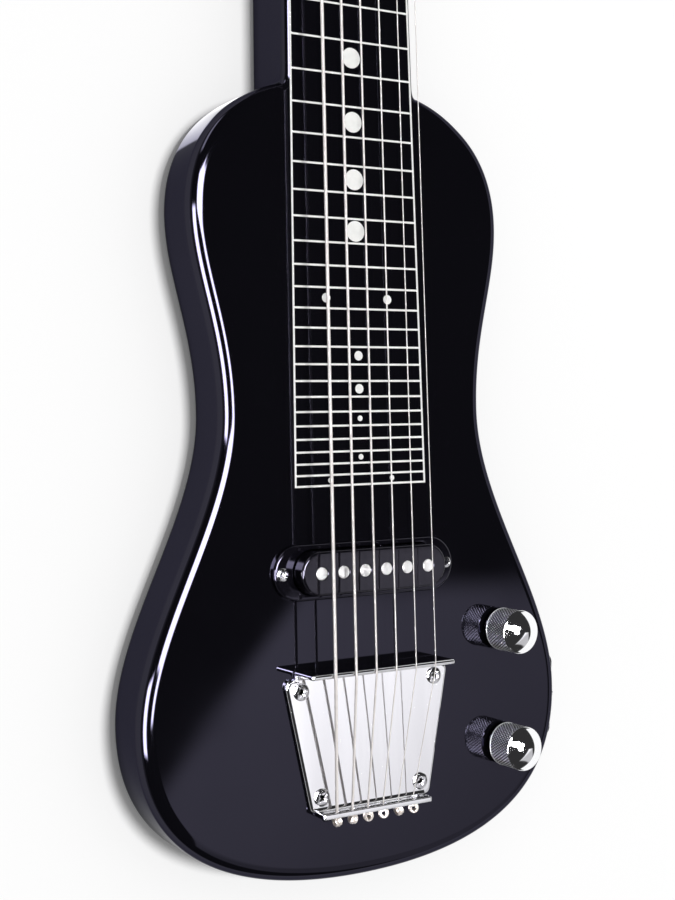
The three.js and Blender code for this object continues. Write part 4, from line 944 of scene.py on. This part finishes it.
def knobShell():
    # crossed spiral grooves cut into the skirt leave a pointed diamond between every four; a dome
    # closes it
    r, low, rim, pitch = (knob[key] for key in ("radius", "low", "rim", "pitch"))
    start, end, edge = low + 0.85, rim - 0.45, r - knob["bevel"]
    angle = around(knob["starts"] * 8)
    height = np.linspace(start, end, int((end - start) / pitch * 8) + 1)[:, None]
    under = [(0, low + 1.6), (6.6, low + 1.6), (6.8, low + 1.4), (6.8, low + 0.1), (6.9, low),
             (r - 0.3, low), (r, low + 0.3), (r, low + 0.7)]
    over = [(r - 0.02, rim - 0.3), (edge + 0.12, rim - 0.04)]
    over += [(edge * share, rim + knob["rise"] * (1 - share ** 2))
             for share in np.linspace(1, 0, 24)]
    wave = lambda turns: 1 - abs((turns % 1) * 2 - 1)
    starts = angle / fullTurn * knob["starts"]
    ridge = np.minimum(wave(starts + height / pitch), wave(starts - height / pitch))
    ends = np.clip(np.minimum(height - start, end - height) / 0.3, 0, 1)
    side = polar(r - knob["depth"] * (1 - ridge) * ends, angle, height)
    return grid(np.concatenate([spun(under, angle), side, spun(over, angle)]))


for (name, spin), (x, y) in zip(knob["spins"].items(), openings["pots"]):
    piece = addPiece(f"{name}_knurled_knob", [moved(knobShell(), (x, y, 0), aboutZ(spin))],
                     "knurledChrome", body=f"{name}_control",
                     stands=[f"{name}_knob"], crease=32)
    places = np.empty(len(piece.data.vertices) * 3)
    piece.data.vertices.foreach_get("co", places)
    px, py, pz = places.reshape(-1, 3).T / mm
    ridge = 1 - (knob["radius"] - np.hypot(px - x, py - y)) / knob["depth"]
    smooth = (pz > knob["rim"] - 0.4) | (pz < knob["low"] + 0.8)
    height = np.where(smooth, 2.0, np.clip(ridge, 0, 1))
    piece.data.attributes.new("height", "FLOAT", "POINT").data.foreach_set("value", height)
print("knobs")


# Output jack on the side

jack = dict(y=-24.0, z=15.0, half=18.0, tall=10.4, corner=4.0, edge=0.7, thickness=1.3, gap=0.15,
            hole=4.9, screwHalf=13.4, screwRise=1.5, nut=12.4, nutHole=4.75, thread=4.7,
            barrel=6.4, shoulder=96.0, bore=3.5)
sideLine = halfLine[(halfLine[:, 0] > 60) & (halfLine[:, 1] < 40)]
sideFacing = unit(np.stack([np.gradient(sideLine[:, 1]), -np.gradient(sideLine[:, 0])], -1))


def onSide(points):
    # distance along Y, level and stand-off of each point, laid on the treble side of the body
    y, z, off = points.T
    rows = (sideLine[:, 0], *sideFacing.T)
    x, nx, ny = (np.interp(y, sideLine[:, 1], row) for row in rows)
    return np.stack([x + nx * off, y + ny * off, z], -1)


def jackPlateShell():
    # a rounded box with its hole, drawn flat and laid on the curved side
    y, z, half, tall, gap = (jack[key] for key in ("y", "z", "half", "tall", "gap"))
    high = gap + jack["thickness"]
    outer = roundedBox(y - half, z - tall, y + half, z + tall, jack["corner"], 10)
    rows = np.array([(0.0, gap), *rounded(jack["edge"], high, 6)])
    points, faces = plate(outer, rows, [circle(y, z, jack["hole"], 36)],
                          [np.array([(0.0, gap), (0.0, high)])])
    return onSide(points), faces


def hexShell(across, height, hole):
    # six flats with a small bevel, and a round hole
    angle, third = around(72), math.pi / 3
    flat = across / 2 / np.cos((angle + third / 2) % third - third / 2)
    bevel = np.minimum(flat, across / 2 * 1.06)
    rows = [(hole, 0), (bevel, 0), (flat, 0.35), (flat, height - 0.35), (bevel, height),
            (hole, height)]
    return grid(np.stack([polar(r, angle, z) for r, z in rows]), roundRows=True)


def barrelShell(start, mouth):
    # a stepped barrel with a threaded neck and a bore for the plug
    thread, wide, step, bore = (jack[key] for key in ("thread", "barrel", "shoulder", "bore"))
    turns = [(thread - 0.22 * (i % 2), mouth - 3.2 + 0.3 * i) for i in range(10)]
    return turned([(0, start), (wide - 0.3, start), (wide, start + 0.3), (wide, step),
                   (thread, step), *turns, (4.3, mouth), (bore, mouth),
                   (bore - 0.15, mouth - 0.3), (bore - 0.15, start + 1.7), (0, start + 1.7)], 40)


nutStart, nutEnd = (corner[0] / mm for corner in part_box("jack_nut"))
socketEnds = [corner[0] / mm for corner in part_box("jack_socket")]
addPiece("curved_jack_plate", [jackPlateShell()], "blackPlastic",
         stands=["jack_plate"])
addPiece("jack_lock_nut", [moved(hexShell(jack["nut"], nutEnd - nutStart, jack["nutHole"]),
                                 (nutStart, jack["y"], jack["z"]), alongX)],
         "screwChrome", stands=["jack_nut"])
addPiece("jack_socket_barrel",
         [moved(barrelShell(*socketEnds), (0, jack["y"], jack["z"]), alongX)],
         "platedSteel", stands=["jack_socket"])
for n, side in enumerate((-1, 1)):
    y, rise = jack["y"] + side * jack["screwHalf"], jack["screwRise"]
    head1, head2 = onSide(np.array([(y, jack["z"], rise), (y, jack["z"], rise + 10)]))
    lean = aboutZ(math.atan2(*(head2 - head1)[[1, 0]]))
    addScrew(f"jack_plate_wood_screw_{n + 1}", f"jack_plate_screw_{n + 1}", "jack", 0.4 + n,
             head1, lean @ alongX)
print("jack")


# Back cover of the controls

cover = dict(low=0.4, high=2.4, box=(47.8, -53.2, 84.2, 22.2, 11.7), edge=0.35, sink=2.85,
             sinkEdge=0.2, screwLevel=1.7)
coverScrews = []
for n in range(4):
    low, high = (np.array(corner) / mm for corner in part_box(f"control_cover_screw_{n + 1}"))
    coverScrews.append(((low[0] + high[0]) / 2, (low[1] + high[1]) / 2))
sinks = [circle(x, y, cover["sink"]) for x, y in coverScrews]
coverProfile = rounding(cover["low"], cover["high"], cover["edge"], 3)
sinkProfile = np.array([(-cover["sinkEdge"], cover["low"]), (0.0, cover["low"] + cover["sinkEdge"]),
                        (0.0, cover["high"])])
addPiece("control_back_cover",
         [plate(roundedBox(*cover["box"], 14), coverProfile, sinks, [sinkProfile] * 4)],
         "coverPlastic", stands=["control_cover"])
for n, (x, y) in enumerate(coverScrews):
    addScrew(f"cover_wood_screw_{n + 1}", f"control_cover_screw_{n + 1}", "cover", 0.3 + n,
             (x, y, cover["screwLevel"]), upsideDown)
print("back cover")


# Tuning machines

tuner = dict(plateHigh=12.5, plateThick=1.2, plateHalf=10.0, plateHole=3.3, overrun=13.0,
             wormY=8.0, wormZ=8.8, innerEar=6.5, outerEar=9.0, earThick=1.4, earHalf=3.0,
             earHole=1.6, gearHigh=10.3, gearLow=7.3, gearOuter=5.5, toothDepth=1.2, teeth=14,
             wormCore=1.75, worm=2.2, wormHalf=4.5, wormPitch=1.5, shaft=1.5, sleeve=1.4,
             buttonStart=20.0, button=(17.0, 14.0, 6.4), bushing=5.2, bushingBore=3.15)
stripBack = tuner["plateHigh"] - tuner["plateThick"]


def tunerStrip(side):
    # one strip with rounded corners and six standing ears, each ear an arch with the shaft's hole
    x, z, half = side * posts["x"], tuner["wormZ"], tuner["earHalf"]
    wide, over = tuner["plateHalf"], tuner["overrun"]
    places = [posts["first"] + posts["pitch"] * n for n in range(3)]
    flat = roundedBox(x - wide, places[0] - over, x + wide, places[-1] + over, 3.0)
    shells = [plate(flat, rounding(stripBack, tuner["plateHigh"], 0.3, 3),
                    [circle(x, y, tuner["plateHole"]) for y in places])]
    arc = polar(half, np.linspace(math.pi, fullTurn, 15), 0)[:, :2]
    for y in places:
        y += tuner["wormY"]
        arch = [*(arc + (y, z)), (y + half, stripBack + 0.2), (y - half, stripBack + 0.2)]
        points, faces = plate(np.array(arch), rounding(0, tuner["earThick"], 0.25, 3),
                              [circle(y, z, tuner["earHole"], 24)])
        for offset in (-tuner["innerEar"], tuner["outerEar"]):
            middle = x + side * offset - tuner["earThick"] / 2
            shells.append((points[:, [2, 0, 1]] + (middle, 0, 0), faces))
    return shells


def postShells():
    # a waisted post turned about Z, over a wheel whose rim steps between tooth and root
    low, top, r = tuner["gearLow"], headTop + posts["rise"], posts["radius"]
    waist = [(r - (r - posts["waist"]) * math.sin(b) ** 0.5, headTop + 7.9 + 5.6 * b / math.pi)
             for b in np.linspace(0, math.pi, 15)]
    crown = [(r - 0.9 + 0.9 * math.cos(b), top - 0.9 + 0.9 * math.sin(b))
             for b in np.linspace(0, quarter, 6)]
    post = turned([(0, low), (r, low), *waist, *crown, (0, top)], 40)
    angle = around(tuner["teeth"] * 16)
    root = 0.5 - np.clip(np.cos(angle * tuner["teeth"]) * 1.6, -1, 1) * 0.5
    rim = polar(tuner["gearOuter"] - tuner["toothDepth"] * root, angle, 0)[:, :2]
    return [post, plate(rim, rounding(low, tuner["gearHigh"], 0.2, 2))]


def buttonShells():
    # along +X from the worm: a shaft, a worm thread, a collar, and an oval button
    start, (length, width, thick) = tuner["buttonStart"], tuner["button"]
    middle, shaft, sleeve = start + length / 2, tuner["shaft"], tuner["sleeve"]
    core, half = tuner["wormCore"], tuner["wormHalf"]
    rod = turned([(0, -8.0), (shaft - 0.2, -8.0), (shaft, -7.8), (shaft, middle), (0, middle)], 24)
    x, angle = np.linspace(-half, half, 91)[:, None], around(32)
    thread = np.clip(np.cos(fullTurn * x / tuner["wormPitch"] - angle) * 1.8, -1, 1)
    fade = np.clip((half - abs(x)) / 0.6, 0, 1)
    worm = grid(polar(core + (tuner["worm"] - core) * (0.5 + 0.5 * thread) * fade, angle, x),
                caps=True)
    c = tuner["outerEar"] + tuner["earThick"] / 2 + 0.3
    collar = turned([(sleeve, c), (2.0, c), (2.3, c + 0.3), (2.3, c + 2.7), (2.0, c + 3.0),
                     (sleeve, c + 3.0), (sleeve, c)], 32)
    neck = turned([(sleeve, start - 3.2), (1.9, start - 3.2), (2.1, start - 2.6),
                   (2.6, start + 0.4), (sleeve, start + 1.5)], 32)
    lift = np.linspace(-quarter, quarter, 25)[:, None]
    spread = np.clip(np.cos(lift), 0, 1) ** 0.55
    level = np.sign(np.sin(lift)) * abs(np.sin(lift)) ** 0.75
    oval = polar(spread, around(64), level) * (length / 2, width / 2, thick / 2)
    return [moved(shell, turn=alongX) for shell in (rod, worm, collar, neck)] + [
        grid(oval + (middle, 0, 0))]


bushings, stripScrews = [], []
for n in range(6):
    x, y = postPlace(n)
    addPiece(f"tuner_post_{n + 1}_turning",
             [moved(shell, (x, y, 0), aboutZ(0.3 * n)) for shell in postShells()],
             "platedSteel", body=f"string_post_{n + 1}",
             stands=[f"tuner_post_{n + 1}"])
    place = (x, y + tuner["wormY"], tuner["wormZ"])
    addPiece(f"tuner_button_{n + 1}_casting",
             [moved(shell, place, aboutZ(math.pi if n < 3 else 0)) for shell in buttonShells()],
             "knobChrome", body=f"tuner_handle_{n + 1}",
             stands=[f"tuner_button_{n + 1}"])
    bore, r, z = tuner["bushingBore"], tuner["bushing"], headTop
    bushings.append(moved(turned([
        (bore, z), (r, z), (r, z + 0.5), (r - 0.4, z + 0.9), (4.1, z + 1.0), (4.0, z + 2.0),
        (3.7, z + 2.3), (bore, z + 2.3), (bore, z)]), (x, y, 0)))
for side, name in ((-1, "bass"), (1, "treble")):
    addPiece(f"tuner_strip_{name}", tunerStrip(side), "platedSteel",
             stands=[f"tuner_plate_{name}"])
    for n, y in enumerate((-9.3, 19.3, 54.3)):
        place = (side * posts["x"], posts["first"] + y, stripBack)
        stripScrews += screwShells("strip", 0.5 * n + 0.2, place, upsideDown)
addPiece("post_bushings", bushings, "screwChrome")
addPiece("strip_screws", stripScrews, "screwChrome")
print("tuners")


# Finishes of the solids that stay as they are

kept = {
    "linePrint": ["fret_lines"],
    "fibreBoard": ["pickup_flatwork"],
    "copperWire": ["pickup_coil"],
    "platedSteel": ["volume_pot", "tone_pot", "volume_shaft", "tone_shaft"],
    "screwChrome": ["volume_nut", "tone_nut"],
    "leadJacket": ["pickup_lead", "jack_lead"],
}
for finish, names in kept.items():
    for name in names:
        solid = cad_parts[name]
        if not solid.material_slots:
            solid.data.materials.append(made[finish])
        for place in solid.material_slots:
            place.material = made[finish]
print("kept solids", sum(map(len, kept.values())))


# Studio

studio = dict(
    soft=0.30, ceiling=0.03, glow=0.3, glowLean=(70.0, 84.0), lamps=46.0,
    horizon=0.08, rightSlope=2.14, rightBlur=0.06,
    panel=dict(top=-0.107, slant=1.3, start=-0.743, right=0.78, low=-0.8, blur=0.012,
               rightFade=0.04, lowFade=0.06, rise=0.1, level=1.21, least=0.5,
               alongY=(-0.16, 2.6), alongX=(0.45, -2.2), tint=(0.975, 0.965, 1.0)),
    overhead=dict(right=(0.10, 0.18, -8.0), bend=(0.26, 0.36, 14.0), left=(0.02, 0.16, 18.0),
                  leftStart=14.0, rightBlur=(-3.0, 6.0), leftBlur=(-4.0, 4.0),
                  y=(-0.13, 0.37, 0.05)),
    side=dict(lean=(50.0, 62.0, 9.0), y=(-0.29, 0.13, 0.06)),
    far=dict(lean=(57.0, 67.0, 6.0), y=(0.70, 0.90, 0.07), level=5.0),
    floor=dict(half=4.5, level=-0.0006, colour=(0.97, 0.97, 0.97), drift=0.01, glow=0.06,
               fade=(0.9, 2.0)),
    # a patch of the floor that glows for gloss rays only, a painted reflection for the shoulder's
    # side wall
    reflectionPatch=dict(left=-0.0685, right=-0.018, low=0.2, high=0.237, blur=0.0015,
              middle=(-0.028, 0.186, 0.0), inner=0.0462, near=6.6, distant=1.7, falls=0.0185),
    key=dict(watts=170.0, size=1.1, distance=5.0, direction=(0.06, 0.10, 0.99)),
)


def between(value, low, high, blur):  # 1 between two limits, fading over the blur outside them
    return value.ramp(low - blur, low) * (high + blur - value).ramp(0.0, blur)


def paintStudio():
    # camera rays see white; soft light is even; gloss sees white at the horizon, a dark ceiling
    # with one wide panel towards the tail and two long lamps to the left, placed by y and by the
    # lean from overhead
    world = bpy.data.worlds.new("studio")
    bpy.context.scene.world = world
    world.use_nodes = True
    world.cycles.sampling_method = "NONE"
    recipe = Recipe(world.node_tree)
    x, y, z = recipe.split(recipe.node("TexCoord", output="Generated"), 0, 1, 2)
    lean = (-x).maths("ARCTAN2", z) * (180 / math.pi)
    shifted = lambda low, high, shift: y.ramp(low, high) * shift
    band = lambda look: between(lean, *look["lean"]) * between(y, *look["y"])

    look = studio["panel"]
    edge = (x * look["slant"] + look["start"]).maths("MINIMUM", look["top"])
    panel = (edge - y).ramp(-look["blur"], look["blur"])
    panel = panel * (look["right"] - x).ramp(0.0, look["rightFade"])
    panel = panel * (y - look["low"]).ramp(0.0, look["lowFade"]) * z.ramp(0.0, look["rise"])
    (y0, slopeY), (x0, slopeX) = look["alongY"], look["alongX"]
    fall = (y - y0) * slopeY + (x - x0) * slopeX + look["level"]
    fall = fall.maths("MAXIMUM", look["least"]).maths("MINIMUM", look["level"])

    look = studio["overhead"]
    right = shifted(*look["right"]) + shifted(*look["bend"])
    left = shifted(*look["left"]) + look["leftStart"]
    lamps = (lean - right).ramp(*look["rightBlur"]) * (left - lean).ramp(*look["leftBlur"])
    lamps = lamps * between(y, *look["y"]) + band(studio["side"])
    far = band(studio["far"]) * studio["far"]["level"]
    blur = studio["rightBlur"]
    pale = 1.0 - z.ramp(0.0, studio["horizon"])
    pale = pale.maths("MAXIMUM", (x - z * studio["rightSlope"]).ramp(-blur, blur))
    bright = panel * fall + lamps * studio["lamps"] + far
    bright = bright + lean.ramp(*studio["glowLean"]) * studio["glow"] + studio["ceiling"]

    tint = recipe.blend(pale, studio["panel"]["tint"], white)
    light = lambda colour, level: recipe.node("Background", {"Color": colour, "Strength": level})
    gloss = light(tint, bright.maths("MAXIMUM", pale))
    glossy, clear, seen, depth = recipe.rays("Is Glossy Ray", "Is Transmission Ray",
                                             "Is Camera Ray", "Diffuse Depth")
    direct = glossy.maths("MAXIMUM", clear) * depth.maths("LESS_THAN", 0.5)
    soft = light(opaque(white), studio["soft"])
    mirrored = recipe.node("MixShader", {0: direct, 1: soft, 2: gloss})
    whole = recipe.node("MixShader", {0: seen, 1: mirrored, 2: light(opaque(white), 1.0)})
    recipe.node("OutputWorld", {"Surface": whole})


def floorFinish():
    # pale paper, clear from below and far away. Beside the bass shoulder a patch of the paper glows
    # for gloss rays only, with an arc for its inner edge: a painted reflection that the side wall
    # there mirrors
    look, reflectionPatch = studio["floor"], studio["reflectionPatch"]
    material, recipe, place = startFinish("paleFloor")
    dark = tuple(c - look["drift"] for c in look["colour"])
    colour = recipe.blend(spots(recipe, place, 3.0), dark, look["colour"])
    paper = recipe.node("BsdfDiffuse", {"Color": colour})
    clear = recipe.node("BsdfTransparent", {"Color": opaque(white)})
    glossy, through, seen = recipe.rays("Is Glossy Ray", "Is Transmission Ray", "Is Camera Ray")
    x, y = recipe.split(place, 0, 1)
    left, blur = reflectionPatch["left"], reflectionPatch["blur"]
    reach = recipe.node("VectorMath", {0: place, 1: reflectionPatch["middle"]}, 1, operation="DISTANCE")
    shape = between(x, left, reflectionPatch["right"], blur) * between(y, reflectionPatch["low"], reflectionPatch["high"], blur)
    shape = shape * (reach - reflectionPatch["inner"]).ramp(0.0, blur)
    level = within(x.ramp(left, left + reflectionPatch["falls"]), (reflectionPatch["near"], reflectionPatch["distant"]))
    # glossy * shape * level is the painted reflection: the patch glows only where gloss looks
    glow = recipe.node("Emission", {
        "Color": opaque(white),
        "Strength": (glossy + through + seen) * look["glow"] + glossy * shape * level})
    sheet = recipe.node("AddShader", {0: paper, 1: glow})
    behind = recipe.node("NewGeometry", output="Backfacing")
    away = recipe.node("VectorMath", {0: place}, 1, operation="LENGTH").ramp(*look["fade"])
    hidden = behind.maths("MAXIMUM", away)
    whole = recipe.node("MixShader", {0: hidden, 1: sheet, 2: clear})
    recipe.node("OutputMaterial", {"Surface": whole})
    return material


def layFloor():
    # a sheet just under the back
    half, level = studio["floor"]["half"], studio["floor"]["level"]
    corners = [(x * half, y * half, level) for x, y in ((-1, -1), (1, -1), (1, 1), (-1, 1))]
    mesh = bpy.data.meshes.new("floor")
    mesh.from_pydata(corners, [], [(0, 1, 2, 3)])
    mesh.materials.append(floorFinish())
    floor = bpy.data.objects.new("floor", mesh)
    bpy.context.scene.collection.objects.link(floor)


def hangLamp():
    # one round lamp nearly overhead; the world carries what gloss sees
    look = studio["key"]
    data = bpy.data.lights.new("keyLamp", "AREA")
    data.shape, data.size, data.energy = "DISK", look["size"], look["watts"]
    lamp = bpy.data.objects.new("keyLamp", data)
    away = Vector(look["direction"]).normalized()
    turn = (-away).to_track_quat("-Z", "Y").to_matrix().to_4x4()
    lamp.matrix_world = Matrix.Translation(away * look["distance"]) @ turn
    lamp.visible_glossy = lamp.visible_camera = False
    bpy.context.scene.collection.objects.link(lamp)


view = dict(lens=56.33, shift=(0.02551, -0.1284), place=(-0.30279, 0.09211, 0.51893),
            right=(0.8666, -0.0229, 0.4985), up=(-0.0155, 0.9972, 0.0727),
            back=(-0.4988, -0.0707, 0.8639))


def setCamera():
    # the photograph's own place, direction and lens, found from the spacing of the printed lines
    data = bpy.data.cameras.new("camera")
    data.sensor_fit = "VERTICAL"
    data.sensor_height = 36.0
    data.lens = view["lens"]
    data.shift_x, data.shift_y = view["shift"]
    data.clip_start, data.clip_end = 0.01, 50.0
    camera = bpy.data.objects.new("camera", data)
    turn = Matrix((view["right"], view["up"], view["back"])).transposed()
    camera.matrix_world = Matrix.Translation(view["place"]) @ turn.to_4x4()
    bpy.context.scene.collection.objects.link(camera)
    bpy.context.scene.camera = camera


paintStudio()
layFloor()
hangLamp()
setCamera()
bpy.context.scene.view_settings.view_transform = "Standard"
print("studio")
